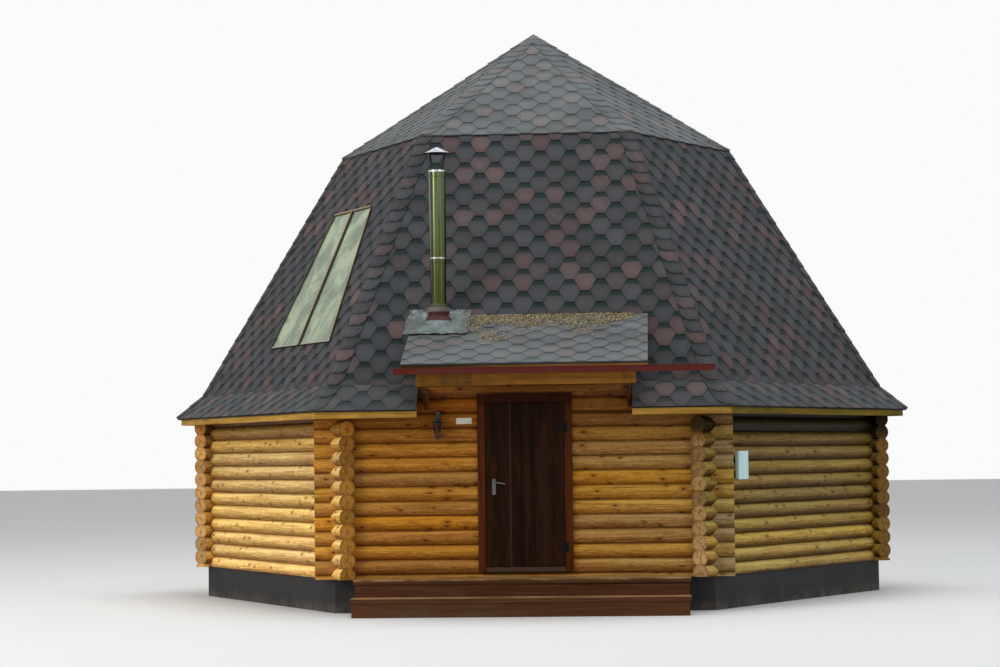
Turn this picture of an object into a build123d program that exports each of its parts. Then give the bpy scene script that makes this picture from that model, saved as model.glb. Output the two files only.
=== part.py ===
from math import cos, radians, sin, sqrt, tan
import os

from build123d import *

os.makedirs("parts", exist_ok=True)

# The cabin stands on z = 0 with its centre over the origin and its front wall facing -Y.
# Lengths are millimetres. A wall or roof piece is drawn in the front position,
# then turned about Z by a multiple of 60 degrees.
SEAT = 0.3  # between a piece and what carries it

# Plan
SIDE = 4420.0  # between the crossing centres at a wall's two ends
HALF = SIDE / 2
APOTHEM = SIDE * cos(radians(30))  # centre of the plan to the middle line of a wall
TURN = 60.0

# Logs
LOG_R = 100.0
RISE = 173.0  # centre to centre of two logs in one wall
ROWS = 14
LOG_END = 275.0  # how far a log runs past the crossing centre
STUB = 40.0  # the same for the trimmed logs under the eaves
STUB_H = 400.0  # logs this near the top of the wall are trimmed
SCRIBE = 0.35  # between a log and the log it lies on
PLINTH_TOP = 400.0
SLAB_H = 61.5  # what shows of the lowest log of the front wall
TOP_SLIVER = 3.0  # the side walls' top half log, above its middle
FRONT_Z = PLINTH_TOP + SLAB_H - LOG_R  # lowest log's middle: front, right back, left back
SIDE_Z = FRONT_Z + RISE / 2  # the same for the other three
WALL_TOP = SIDE_Z + RISE * (ROWS - 1) + TOP_SLIVER
WALL_FACE = APOTHEM + LOG_R

# Plinth and floor
PLINTH_PROUD = 70.0
PLINTH_W = 260.0
PLINTH_OUT = APOTHEM + PLINTH_PROUD
PLINTH_IN = PLINTH_OUT - PLINTH_W
FLOOR_T = 100.0
FLOOR_EDGE = APOTHEM - LOG_R - 2.0

# Doorway
LEAF_X0 = -434.0
LEAF_W = 929.0
LEAF_H = 1930.0
LEAF_T = 55.0
LEAF_PROUD = 27.0
BOARD_W = 145.0  # boards of the leaf
GROOVE = 3.0  # depth of the vee between them
HINGE_SIDE_GAP = 6.0
LATCH_SIDE_GAP = 8.0
HEAD_GAP = 6.0
STOP_LAP = 12.0
JAMB_T = 42.0
JAMB_GAP = 2.0
SILL_H = 67.0
TRIM_T = 25.0
TRIM_W = 89.0
TRIM_HEAD = 103.0
TRIM_FOOT = 52.0
LEAF_X1 = LEAF_X0 + LEAF_W
LEAF_FACE = WALL_FACE + LEAF_PROUD
DOOR_X0 = LEAF_X0 - LATCH_SIDE_GAP
DOOR_X1 = LEAF_X1 + HINGE_SIDE_GAP
HOLE_Z0 = FRONT_Z + LOG_R + SEAT
DOOR_Z0 = HOLE_Z0 + SILL_H
LEAF_Z0 = DOOR_Z0 + HEAD_GAP
LEAF_Z1 = LEAF_Z0 + LEAF_H
DOOR_Z1 = LEAF_Z1 + HEAD_GAP
HOLE_X0 = DOOR_X0 - JAMB_T - JAMB_GAP
HOLE_X1 = DOOR_X1 + JAMB_T + JAMB_GAP
HOLE_Z1 = DOOR_Z1 + JAMB_T + JAMB_GAP

# Hinges
HINGE_Z = (LEAF_Z0 + 225.0, LEAF_Z1 - 295.0)
HINGE_H = 110.0
KNUCKLE_R = 8.0
KNUCKLE_GAP = 0.6
PIN_R = 4.0
PIN_CLEAR = 0.15
FLAP_T = 5.0
TRIM_FLAP_W = 38.0
LEAF_FLAP_W = 72.0
HINGE_X = (LEAF_X1 + DOOR_X1) / 2
HINGE_Y = LEAF_FACE + 10.0

# Handle
HANDLE_X = LEAF_X0 + 94.0
HANDLE_Z = LEAF_Z0 + 1001.0
PLATE_W = 42.0
PLATE_H = 193.0
PLATE_T = 4.0
PLATE_DROP = 59.0  # the plate's middle below the spindle
SPINDLE_R = 8.0
SPINDLE_CLEAR = 0.1
LEVER_R = 9.0
LEVER_T = 13.0
LEVER_L = 130.0
LEVER_REACH = 55.0
LEVER_SAG = 11.0  # degrees the lever points down at rest

# Landing
DECK_X = HALF - 250.0
DECK_OUT = 552.0
DECK_H = 417.0
DECK_NOSE = 20.0
BOARD_T = 50.0
STEP_OUT = 350.0
STEP_H = 216.0
STEP_NOSE = 14.0
DECK_SIDE_T = 40.0
DECK_BACK = WALL_FACE - 7.0
DECK_FRONT = WALL_FACE + DECK_OUT
STEP_FRONT = DECK_FRONT + STEP_OUT

# Eaves and roof, as distance from the middle (a) and height (z)
KNEE_OUT = 12.17
SKIRT_RUN = 320.0
SKIRT_FALL = 300.0
SKIRT_T = 28.0
STEEP_RUN = 1698.0
STEEP_RISE = 3214.0
CAP_HEIGHT = 1611.0
ROOF_T = 100.0
CAP_T = 80.0
DRIP = 30.0
MITRE = 0.2  # each side of a hip
FASCIA_IN_BY = 51.0
FASCIA_T = 25.0
FASCIA_H = 95.0
EAVE_X0 = -1225.0  # the eaves stop here, left of the door
EAVE_X1 = 1308.0  # and here, right of it
KNEE_A = WALL_FACE + KNEE_OUT
KNEE_Z = WALL_TOP
SKIRT_A = KNEE_A + SKIRT_RUN
SKIRT_Z = KNEE_Z - SKIRT_FALL
BREAK_A = KNEE_A - STEEP_RUN
BREAK_Z = KNEE_Z + STEEP_RISE
APEX_Z = BREAK_Z + CAP_HEIGHT
FASCIA_A = SKIRT_A - FASCIA_IN_BY
FASCIA_Z = SKIRT_Z - FASCIA_H

# Canopy over the door
CANOPY_X0 = -1315.0
CANOPY_X1 = 1503.0
CANOPY_OUT = 1160.0
CANOPY_LIFT = 197.0
CANOPY_SLOPE = 0.391
CANOPY_T = 70.0
BEAM_BACK = 100.0  # the beam stands this far behind the canopy's edge
BEAM_T = 60.0
BEAM_H = 144.0
BEAM_LOW = 50.0  # its underside below the top of the wall
BEAM_OVER_LEFT = 74.0  # past the inner edge of the eaves, left
BEAM_OVER_RIGHT = 58.0
RAFTER_W = 45.0
RAFTER_H = 125.0
ARM_IN = 13.0  # between the right arm and the end of the eaves
ARM_DEPTH = 250.0
ARM_NOSE = 28.0
GUTTER_X0 = -1388.0
GUTTER_X1 = 2250.0
GUTTER_W = 110.0
GUTTER_H = 72.0
GUTTER_T = 3.0
GUTTER_LOW = 47.0  # its rim below the canopy's edge
CANOPY_A = KNEE_A + CANOPY_OUT
CANOPY_Z = KNEE_Z + CANOPY_LIFT
BEAM_X0 = EAVE_X0 + BEAM_OVER_LEFT
BEAM_X1 = EAVE_X1 + BEAM_OVER_RIGHT
BEAM_A1 = CANOPY_A - BEAM_BACK
BEAM_A0 = BEAM_A1 - BEAM_T
BEAM_Z0 = WALL_TOP - BEAM_LOW
BEAM_Z1 = BEAM_Z0 + BEAM_H

# Chimney
PIPE_X = -1000.0
PIPE_BACK = 285.0  # its middle behind the foot of the steep roof
PIPE_R = 100.0
LOWER_R = 95.0  # the length below the joint
FLUE_R = 60.0
PIPE_LIFT = 100.0  # its foot above the wall
PIPE_L = 2480.0
JOINT_UP = 1366.0  # from its foot to the joint
PIPE_HOLE_R = 112.0
CAP_R = 160.0
CAP_H = 76.0
CAP_GAP = 208.0  # from the pipe to the cap's rim
CAP_SHEET = 4.0
PIPE_A = KNEE_A - PIPE_BACK
PIPE_Z0 = WALL_TOP + PIPE_LIFT
PIPE_Z1 = PIPE_Z0 + PIPE_L
JOINT_Z = PIPE_Z0 + JOINT_UP
CAP_Z0 = PIPE_Z1 + CAP_GAP

# Roof window, across (u) and up (v) the left front roof from the middle of its lower edge
WINDOW = ((-407.0, 630.0), (1578.0, 630.0), (755.0, 2625.0), (-454.0, 2625.0))
WINDOW_BAR = ((561.0, 630.0), (158.0, 2625.0))
WINDOW_RISE = 30.0
BAR_W = 40.0
GLASS_T = 20.0

# Lantern and plates, left of the door and on the right wall
LANTERN_X = -996.0
LANTERN_OUT = 100.0
LANTERN_Z = 2232.0
LANTERN_H = 166.0
LANTERN_R = 66.0
LANTERN_FOOT_R = 40.0
PLAQUE_X = -688.0
PLAQUE_Z = 2260.0
PLAQUE_W = 187.0
PLAQUE_H = 73.0
METER_IN = 450.0  # from the corner
METER_W = 236.0
METER_Z = 1530.0
METER_H = 330.0
METER_D = 45.0


def turned(piece, steps):
    """The piece turned about Z from the front position."""
    with BuildPart() as moved:
        with Locations(Location((0, 0, 0), (0, 0, TURN * steps))):
            add(piece.part)
    return moved


def sector(edge_gap, top=9000.0):
    """The sixth of the plan that belongs to the front wall."""
    with BuildPart() as wedge:
        with BuildSketch():
            with BuildLine():
                Polyline(
                    (0, -edge_gap / sin(radians(30))),
                    (9000 * tan(radians(30)) - edge_gap, -9000),
                    (-9000 * tan(radians(30)) + edge_gap, -9000),
                    close=True,
                )
            make_face()
        extrude(amount=top)
    return wedge


def profile_ring_side(points, edge_gap=MITRE):
    """A straight length of roof or eaves with the given (a, z) section, mitred at both hips."""
    with BuildPart() as side:
        with BuildSketch(Plane.YZ):
            with BuildLine():
                Polyline(*[(-a, z) for a, z in points], close=True)
            make_face()
        extrude(amount=6000, both=True)
        add(sector(edge_gap).part, mode=Mode.INTERSECT)
    return side


def front_box(x0, x1, a0, a1, z0, z1, mode=Mode.ADD):
    """A box by its limits, with a0 and a1 as distances in front of the middle."""
    with Locations(((x0 + x1) / 2, -(a0 + a1) / 2, (z0 + z1) / 2)):
        Box(x1 - x0, a1 - a0, z1 - z0, mode=mode)


def log(z, x0, x1, spans):
    """A round log of the front wall, hollowed beneath where it lies on the logs below."""
    with BuildPart() as piece:
        with BuildSketch(Plane.YZ.offset(x0)):
            with Locations((-APOTHEM, z)):
                Circle(LOG_R)
        extrude(amount=x1 - x0)
        for start, end in spans:
            with BuildSketch(Plane.YZ.offset(start)):
                with Locations((-APOTHEM, z - RISE)):
                    Circle(LOG_R + SCRIBE)
            extrude(amount=end - start, mode=Mode.SUBTRACT)
        for corner in (-1, 1):
            if x0 < corner * HALF < x1:
                crossing = Plane(
                    origin=(corner * HALF, -APOTHEM, z - RISE / 2),
                    x_dir=(0, 0, 1),
                    z_dir=(cos(radians(TURN)), corner * sin(radians(TURN)), 0),
                )
                with BuildSketch(crossing):
                    Circle(LOG_R + SCRIBE)
                extrude(amount=700, both=True, mode=Mode.SUBTRACT)
        if z - LOG_R < PLINTH_TOP:
            front_box(x0 - 10, x1 + 10, APOTHEM - 200, APOTHEM + 200, 0, PLINTH_TOP, Mode.SUBTRACT)
        if z + LOG_R > WALL_TOP:
            front_box(x0 - 10, x1 + 10, APOTHEM - 200, APOTHEM + 200, WALL_TOP, WALL_TOP + 300,
                      Mode.SUBTRACT)
        if z > WALL_TOP - 20:
            front_box(x0 - 10, x1 + 10, APOTHEM + 55, APOTHEM + 200, z - 200, z + 200,
                      Mode.SUBTRACT)
    return piece


def reach(z):
    """How far from the middle of the wall a log at this height runs."""
    return HALF + (LOG_END if z < WALL_TOP - STUB_H else STUB)


# Plinth: a dark ring under the walls
with BuildPart() as plinth:
    with BuildSketch():
        RegularPolygon(PLINTH_OUT, 6, major_radius=False)
        RegularPolygon(PLINTH_IN, 6, major_radius=False, mode=Mode.SUBTRACT)
    extrude(amount=PLINTH_TOP)
plinth.part.label = "plinth"
export_step(plinth.part, "parts/plinth.step")

# Floor: rests on the plinth's inner ledge
with BuildPart() as floor:
    with BuildSketch(Plane.XY.offset(PLINTH_TOP)):
        RegularPolygon(FLOOR_EDGE, 6, major_radius=False)
    extrude(amount=FLOOR_T)
floor.part.label = "floor"
export_step(floor.part, "parts/floor.step")

# Front wall: the logs beside the doorway are in two lengths
FRONT_ROWS = [FRONT_Z + RISE * row for row in range(ROWS)]
with BuildPart() as front_bottom_log:
    add(log(FRONT_Z, -reach(FRONT_Z), reach(FRONT_Z), []).part)
front_bottom_log.part.label = "front_bottom_log"
export_step(front_bottom_log.part, "parts/front_bottom_log.step")

with BuildPart() as front_wall_left:
    for z in FRONT_ROWS[1:-1]:
        add(log(z, -reach(z), HOLE_X0, [(-3000, 3000)]).part)
front_wall_left.part.label = "front_wall_left"
export_step(front_wall_left.part, "parts/front_wall_left.step")

with BuildPart() as front_wall_right:
    for z in FRONT_ROWS[1:-1]:
        add(log(z, HOLE_X1, reach(z), [(-3000, 3000)]).part)
front_wall_right.part.label = "front_wall_right"
export_step(front_wall_right.part, "parts/front_wall_right.step")

with BuildPart() as front_wall_over_door:
    over = FRONT_ROWS[-1]
    add(log(over, -reach(over), reach(over), [(-3000, HOLE_X0), (HOLE_X1, 3000)]).part)
    front_box(HOLE_X0, HOLE_X1, APOTHEM - 200, APOTHEM + 200, LEAF_Z0, HOLE_Z1, Mode.SUBTRACT)
front_wall_over_door.part.label = "front_wall_over_door"
export_step(front_wall_over_door.part, "parts/front_wall_over_door.step")

# The other five walls
with BuildPart() as like_front:
    for z in FRONT_ROWS:
        add(log(z, -reach(z), reach(z), [(-3000, 3000)]).part)

SIDE_ROWS = [SIDE_Z + RISE * row for row in range(ROWS)]
with BuildPart() as like_side:
    for z in SIDE_ROWS:
        add(log(z, -reach(z), reach(z), [(-3000, 3000)]).part)

right_front_wall = turned(like_side, 1)
right_front_wall.part.label = "right_front_wall"
export_step(right_front_wall.part, "parts/right_front_wall.step")

right_back_wall = turned(like_front, 2)
right_back_wall.part.label = "right_back_wall"
export_step(right_back_wall.part, "parts/right_back_wall.step")

back_wall = turned(like_side, 3)
back_wall.part.label = "back_wall"
export_step(back_wall.part, "parts/back_wall.step")

left_back_wall = turned(like_front, 4)
left_back_wall.part.label = "left_back_wall"
export_step(left_back_wall.part, "parts/left_back_wall.step")

left_front_wall = turned(like_side, 5)
left_front_wall.part.label = "left_front_wall"
export_step(left_front_wall.part, "parts/left_front_wall.step")

# Door frame: rebated for the leaf
JAMB_OUT = LEAF_FACE - TRIM_T
JAMB_IN = APOTHEM - LOG_R + 10.0
STOP_A = LEAF_FACE - LEAF_T - HEAD_GAP
with BuildPart() as door_frame:
    front_box(HOLE_X0 + JAMB_GAP, HOLE_X1 - JAMB_GAP, JAMB_IN, JAMB_OUT, HOLE_Z0,
              HOLE_Z1 - JAMB_GAP)
    front_box(DOOR_X0, DOOR_X1, STOP_A, JAMB_OUT + 1, DOOR_Z0, DOOR_Z1, Mode.SUBTRACT)
    front_box(LEAF_X0 + STOP_LAP, LEAF_X1 - STOP_LAP, JAMB_IN - 1, STOP_A + 1, DOOR_Z0,
              LEAF_Z1 - STOP_LAP, Mode.SUBTRACT)
door_frame.part.label = "door_frame"
export_step(door_frame.part, "parts/door_frame.step")

# Door trim: flat boards on the wall
with BuildPart() as door_trim:
    front_box(DOOR_X0 - TRIM_W, DOOR_X1 + TRIM_W, JAMB_OUT + SEAT, LEAF_FACE,
              DOOR_Z0 - TRIM_FOOT, DOOR_Z1 + TRIM_HEAD)
    front_box(DOOR_X0, DOOR_X1, JAMB_OUT - 10, LEAF_FACE + 10, DOOR_Z0, DOOR_Z1, Mode.SUBTRACT)
door_trim.part.label = "door_trim"
export_step(door_trim.part, "parts/door_trim.step")

# Door leaf: upright boards with a vee between them, and a hole for the spindle
with BuildPart() as door_leaf:
    front_box(LEAF_X0, LEAF_X1, LEAF_FACE - LEAF_T, LEAF_FACE, LEAF_Z0, LEAF_Z1)
    with BuildSketch(Plane.XY.offset(LEAF_Z0 - 1)):
        for board in range(1, int(LEAF_W // BOARD_W) + 1):
            x = LEAF_X0 + board * BOARD_W
            with BuildLine():
                Polyline((x - GROOVE, -LEAF_FACE - 0.5), (x, -LEAF_FACE + GROOVE),
                         (x + GROOVE, -LEAF_FACE - 0.5), close=True)
            make_face()
    extrude(amount=LEAF_H + 2, mode=Mode.SUBTRACT)
    with BuildSketch(Plane.XZ):
        with Locations((HANDLE_X, HANDLE_Z)):
            Circle(SPINDLE_R + 6)
    extrude(amount=2 * LEAF_FACE, both=True, mode=Mode.SUBTRACT)
door_leaf.part.label = "door_leaf"
export_step(door_leaf.part, "parts/door_leaf.step")

# Hinges: each has a middle knuckle on the leaf and two on the trim that hold the pin
THIRD = HINGE_H / 3
with BuildPart() as door_hinges_fixed:
    for z in HINGE_Z:
        with Locations((HINGE_X, -HINGE_Y, z)):
            Cylinder(KNUCKLE_R, HINGE_H)
        front_box(HINGE_X, HINGE_X + TRIM_FLAP_W, LEAF_FACE, LEAF_FACE + FLAP_T, z - HINGE_H / 2,
                  z + HINGE_H / 2)
        with Locations((HINGE_X, -HINGE_Y, z)):
            Cylinder(KNUCKLE_R + 3, THIRD + 2 * KNUCKLE_GAP, mode=Mode.SUBTRACT)
            Cylinder(PIN_R, THIRD + 4)
door_hinges_fixed.part.label = "door_hinges_fixed"
export_step(door_hinges_fixed.part, "parts/door_hinges_fixed.step")

with BuildPart() as door_hinges_moving:
    for z in HINGE_Z:
        front_box(HINGE_X - LEAF_FLAP_W, HINGE_X, LEAF_FACE, LEAF_FACE + FLAP_T, z - HINGE_H / 2,
                  z + HINGE_H / 2)
        with Locations((HINGE_X, -HINGE_Y, z)):
            Cylinder(KNUCKLE_R + 3, HINGE_H + 10, mode=Mode.SUBTRACT)
            Cylinder(KNUCKLE_R, THIRD)
        front_box(HINGE_X - KNUCKLE_R - 5, HINGE_X, LEAF_FACE, LEAF_FACE + FLAP_T, z - THIRD / 2,
                  z + THIRD / 2)
        with Locations((HINGE_X, -HINGE_Y, z)):
            Cylinder(PIN_R + PIN_CLEAR, THIRD + 10, mode=Mode.SUBTRACT)
door_hinges_moving.part.label = "door_hinges_moving"
export_step(door_hinges_moving.part, "parts/door_hinges_moving.step")

# Handle plates on both faces of the leaf
with BuildPart() as handle_plates:
    for a in (LEAF_FACE, LEAF_FACE - LEAF_T - PLATE_T):
        with BuildSketch(Plane.XZ.offset(a)):
            with Locations((HANDLE_X, HANDLE_Z - PLATE_DROP)):
                SlotOverall(PLATE_H, PLATE_W, rotation=90)
            with Locations((HANDLE_X, HANDLE_Z)):
                Circle(SPINDLE_R + SPINDLE_CLEAR, mode=Mode.SUBTRACT)
            with Locations((HANDLE_X, HANDLE_Z - 1.6 * PLATE_DROP)):
                SlotOverall(20, 8, rotation=90, mode=Mode.SUBTRACT)
        extrude(amount=PLATE_T)
handle_plates.part.label = "handle_plates"
export_step(handle_plates.part, "parts/handle_plates.step")

# Handle levers: outside and inside, joined by the spindle, with rounded grips
LEVER_OUT = LEAF_FACE + PLATE_T + LEVER_REACH
LEVER_IN = LEAF_FACE - LEAF_T - PLATE_T - LEVER_REACH
with BuildPart() as handle_levers:
    for a in (LEVER_OUT - LEVER_T, LEVER_IN):
        with BuildSketch(Plane.XZ.offset(a)):
            with Locations((HANDLE_X + LEVER_L / 2 * cos(radians(LEVER_SAG)),
                            HANDLE_Z - LEVER_L / 2 * sin(radians(LEVER_SAG)))):
                SlotCenterToCenter(LEVER_L, 2 * LEVER_R, rotation=-LEVER_SAG)
        extrude(amount=LEVER_T)
    fillet(handle_levers.edges().filter_by(GeomType.LINE, reverse=True), LEVER_T / 3)
    with BuildSketch(Plane.XZ.offset(LEVER_IN + LEVER_T / 2)):
        with Locations((HANDLE_X, HANDLE_Z)):
            Circle(SPINDLE_R)
    extrude(amount=LEVER_OUT - LEVER_IN - LEVER_T)
handle_levers.part.label = "handle_levers"
export_step(handle_levers.part, "parts/handle_levers.step")

# Landing: boards on a frame, and a lower step in front
with BuildPart() as upper_deck:
    front_box(-DECK_X, DECK_X, DECK_BACK, DECK_FRONT, DECK_H - BOARD_T, DECK_H)
upper_deck.part.label = "upper_deck"
export_step(upper_deck.part, "parts/upper_deck.step")

DECK_IN = DECK_FRONT - DECK_NOSE
FRAME_X = DECK_X - DECK_NOSE
FRAME_A = PLINTH_OUT + SEAT
with BuildPart() as deck_frame:
    front_box(-FRAME_X, FRAME_X, FRAME_A, DECK_IN, 0, DECK_H - BOARD_T)
    front_box(-FRAME_X + DECK_SIDE_T, FRAME_X - DECK_SIDE_T, FRAME_A + DECK_SIDE_T,
              DECK_IN - DECK_SIDE_T, -1, DECK_H, Mode.SUBTRACT)
deck_frame.part.label = "deck_frame"
export_step(deck_frame.part, "parts/deck_frame.step")

STEP_BACK = DECK_IN + SEAT
with BuildPart() as lower_step:
    front_box(-DECK_X, DECK_X, STEP_BACK, STEP_FRONT, STEP_H - BOARD_T, STEP_H)
    front_box(-FRAME_X, FRAME_X, STEP_BACK, STEP_FRONT - STEP_NOSE, 0, STEP_H - BOARD_T)
    front_box(-FRAME_X + DECK_SIDE_T, FRAME_X - DECK_SIDE_T, STEP_BACK + DECK_SIDE_T,
              STEP_FRONT - STEP_NOSE - DECK_SIDE_T, -1, STEP_H - BOARD_T, Mode.SUBTRACT)
lower_step.part.label = "lower_step"
export_step(lower_step.part, "parts/lower_step.step")


# Skirt: the flared lowest band of roof, open over the door
SKIRT_L = sqrt((SKIRT_A - KNEE_A) ** 2 + (KNEE_Z - SKIRT_Z) ** 2)
SKIRT_N = ((KNEE_Z - SKIRT_Z) / SKIRT_L, (SKIRT_A - KNEE_A) / SKIRT_L)
SKIRT_POINTS = (
    (SKIRT_A, SKIRT_Z),
    (KNEE_A, KNEE_Z - 0.5),
    (KNEE_A - SKIRT_T, KNEE_Z - 0.5),
    (SKIRT_A - SKIRT_T * SKIRT_N[0], SKIRT_Z - SKIRT_T * SKIRT_N[1]),
)
skirt_side = profile_ring_side(SKIRT_POINTS)
with BuildPart() as skirt_roof:
    add(skirt_side.part)
    front_box(EAVE_X0, EAVE_X1, APOTHEM, 2 * APOTHEM, FASCIA_Z - 1, KNEE_Z + 1, Mode.SUBTRACT)
    for steps in range(1, 6):
        with Locations(Location((0, 0, 0), (0, 0, TURN * steps))):
            add(skirt_side.part)
skirt_roof.part.label = "skirt_roof"
export_step(skirt_roof.part, "parts/skirt_roof.step")


def under_skirt(a):
    """Height of the skirt's underside, a hair lower."""
    top = SKIRT_Z - SKIRT_T * SKIRT_N[1]
    return top + (SKIRT_A - SKIRT_T * SKIRT_N[0] - a) * SKIRT_N[0] / SKIRT_N[1] - 0.6


FASCIA_IN = FASCIA_A - FASCIA_T
fascia_side = profile_ring_side((
    (FASCIA_A, FASCIA_Z),
    (FASCIA_A, under_skirt(FASCIA_A)),
    (FASCIA_IN, under_skirt(FASCIA_IN)),
    (FASCIA_IN, FASCIA_Z),
))
with BuildPart() as eave_fascia:
    add(fascia_side.part)
    front_box(EAVE_X0, EAVE_X1, APOTHEM, 2 * APOTHEM, FASCIA_Z - 1, KNEE_Z + 1, Mode.SUBTRACT)
    for steps in range(1, 6):
        with Locations(Location((0, 0, 0), (0, 0, TURN * steps))):
            add(fascia_side.part)
eave_fascia.part.label = "eave_fascia"
export_step(eave_fascia.part, "parts/eave_fascia.step")

# Brackets carry the eaves from the walls
BRACKET_W = 40.0
BRACKET_X = HALF - 310.0
BRACKET_A = WALL_FACE + SEAT


def bracket(x):
    """One eaves bracket of the front wall."""
    with BuildPart() as piece:
        with BuildSketch(Plane.YZ.offset(x - BRACKET_W / 2)):
            with BuildLine():
                Polyline(
                    (-BRACKET_A, FASCIA_Z + 5),
                    (-FASCIA_IN + SEAT, FASCIA_Z + 30),
                    (-FASCIA_IN + SEAT, under_skirt(FASCIA_IN)),
                    (-BRACKET_A, under_skirt(BRACKET_A)),
                    close=True,
                )
            make_face()
        extrude(amount=BRACKET_W)
    return piece


with BuildPart() as eave_brackets:
    for x in (-BRACKET_X, EAVE_X0 - BRACKET_W, EAVE_X1 + BRACKET_W, BRACKET_X):
        add(bracket(x).part)
    for steps in range(1, 6):
        with Locations(Location((0, 0, 0), (0, 0, TURN * steps))):
            for x in (-BRACKET_X, -BRACKET_X / 3, BRACKET_X / 3, BRACKET_X):
                add(bracket(x).part)
eave_brackets.part.label = "eave_brackets"
export_step(eave_brackets.part, "parts/eave_brackets.step")

# Steep roof
STEEP_L = sqrt((KNEE_A - BREAK_A) ** 2 + (BREAK_Z - KNEE_Z) ** 2)
STEEP_UP = ((KNEE_A - BREAK_A) / STEEP_L, (BREAK_Z - KNEE_Z) / STEEP_L)
STEEP_SLOPE = (KNEE_A - BREAK_A) / (BREAK_Z - KNEE_Z)
STEEP_WIDE = ROOF_T / STEEP_UP[1]
CAP_L = sqrt(BREAK_A ** 2 + (APEX_Z - BREAK_Z) ** 2)
CAP_DROP = CAP_T * CAP_L / BREAK_A
CAP_RISE = (APEX_Z - BREAK_Z) / BREAK_A


def cap_under(a):
    """Height of the upper roof's underside."""
    return APEX_Z - CAP_DROP - a * CAP_RISE


def meet(inner):
    """Where a face of the steep roof reaches the upper roof's underside, a hair lower."""
    a0 = KNEE_A - inner
    z = (APEX_Z - CAP_DROP - 0.6 - CAP_RISE * (a0 + STEEP_SLOPE * KNEE_Z)) / (
        1 - CAP_RISE * STEEP_SLOPE
    )
    return (a0 - STEEP_SLOPE * (z - KNEE_Z), z)


steep_side = profile_ring_side((
    (KNEE_A, KNEE_Z),
    meet(0),
    meet(STEEP_WIDE),
    (KNEE_A - STEEP_WIDE, KNEE_Z),
))


def steep_plane(steps):
    """On the steep roof's outer face, x across and y up from the middle of its lower edge."""
    turn = Location((0, 0, 0), (0, 0, TURN * steps))
    return Plane(turn * Plane(
        origin=(0, -KNEE_A, KNEE_Z),
        x_dir=(1, 0, 0),
        z_dir=(0, -STEEP_UP[1], STEEP_UP[0]),
    ).location)


with BuildPart() as steep_roof_front:
    add(steep_side.part)
    with Locations((PIPE_X, -PIPE_A, PIPE_Z0 + PIPE_L / 2)):
        Cylinder(PIPE_HOLE_R, PIPE_L, mode=Mode.SUBTRACT)
steep_roof_front.part.label = "steep_roof_front"
export_step(steep_roof_front.part, "parts/steep_roof_front.step")

with BuildPart() as steep_roof_left_front:
    with Locations(Location((0, 0, 0), (0, 0, TURN * 5))):
        add(steep_side.part)
    with BuildSketch(steep_plane(5)):
        with BuildLine():
            Polyline(*WINDOW, close=True)
        make_face()
        offset(amount=0.5, kind=Kind.INTERSECTION)
    extrude(amount=400, both=True, mode=Mode.SUBTRACT)
steep_roof_left_front.part.label = "steep_roof_left_front"
export_step(steep_roof_left_front.part, "parts/steep_roof_left_front.step")

with BuildPart() as steep_roof_others:
    for steps in range(1, 5):
        with Locations(Location((0, 0, 0), (0, 0, TURN * steps))):
            add(steep_side.part)
steep_roof_others.part.label = "steep_roof_others"
export_step(steep_roof_others.part, "parts/steep_roof_others.step")

# Upper roof
cap_side = profile_ring_side((
    (BREAK_A + DRIP, BREAK_Z - DRIP * CAP_RISE),
    (0, APEX_Z),
    (0, APEX_Z - CAP_DROP),
    (BREAK_A + DRIP, BREAK_Z - DRIP * CAP_RISE - CAP_DROP),
))
with BuildPart() as upper_roof:
    for steps in range(6):
        with Locations(Location((0, 0, 0), (0, 0, TURN * steps))):
            add(cap_side.part)
upper_roof.part.label = "upper_roof"
export_step(upper_roof.part, "parts/upper_roof.step")

# Roof window: a frame with a bar down the middle, and two panes let into it
(BL, BR, TR, TL) = WINDOW
(BAR_B, BAR_T) = WINDOW_BAR


def pane(left_bottom, right_bottom, right_top, left_top, margin):
    """The opening of one pane, with the frame's bars cut off all round."""
    with BuildSketch() as shape:
        with BuildLine():
            Polyline(left_bottom, right_bottom, right_top, left_top, close=True)
        make_face()
        offset(amount=-margin, kind=Kind.INTERSECTION)
    return shape.sketch


with BuildPart() as skylight_frame:
    with BuildSketch(steep_plane(5).offset(-ROOF_T)):
        with BuildLine():
            Polyline(*WINDOW, close=True)
        make_face()
    extrude(amount=ROOF_T + WINDOW_RISE)
    with BuildSketch(steep_plane(5).offset(WINDOW_RISE)):
        add(pane(BL, BAR_B, BAR_T, TL, BAR_W))
        add(pane(BAR_B, BR, TR, BAR_T, BAR_W))
    extrude(amount=-WINDOW_RISE - ROOF_T - 10, mode=Mode.SUBTRACT)
    with BuildSketch(steep_plane(5).offset(WINDOW_RISE)):
        add(pane(BL, BAR_B, BAR_T, TL, BAR_W / 2))
        add(pane(BAR_B, BR, TR, BAR_T, BAR_W / 2))
    extrude(amount=-GLASS_T - 4, mode=Mode.SUBTRACT)
skylight_frame.part.label = "skylight_frame"
export_step(skylight_frame.part, "parts/skylight_frame.step")

with BuildPart() as skylight_glass:
    with BuildSketch(steep_plane(5).offset(WINDOW_RISE - 4)):
        add(pane(BL, BAR_B, BAR_T, TL, BAR_W / 2 + 0.5))
        add(pane(BAR_B, BR, TR, BAR_T, BAR_W / 2 + 0.5))
    extrude(amount=-GLASS_T)
skylight_glass.part.label = "skylight_glass"
export_step(skylight_glass.part, "parts/skylight_glass.step")

# Canopy: a slab from the steep roof out over the door
CANOPY_DROP = CANOPY_T * sqrt(1 + CANOPY_SLOPE ** 2)


def canopy_top(a):
    """Height of the canopy's upper face."""
    return CANOPY_Z + (CANOPY_A - a) * CANOPY_SLOPE


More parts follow.
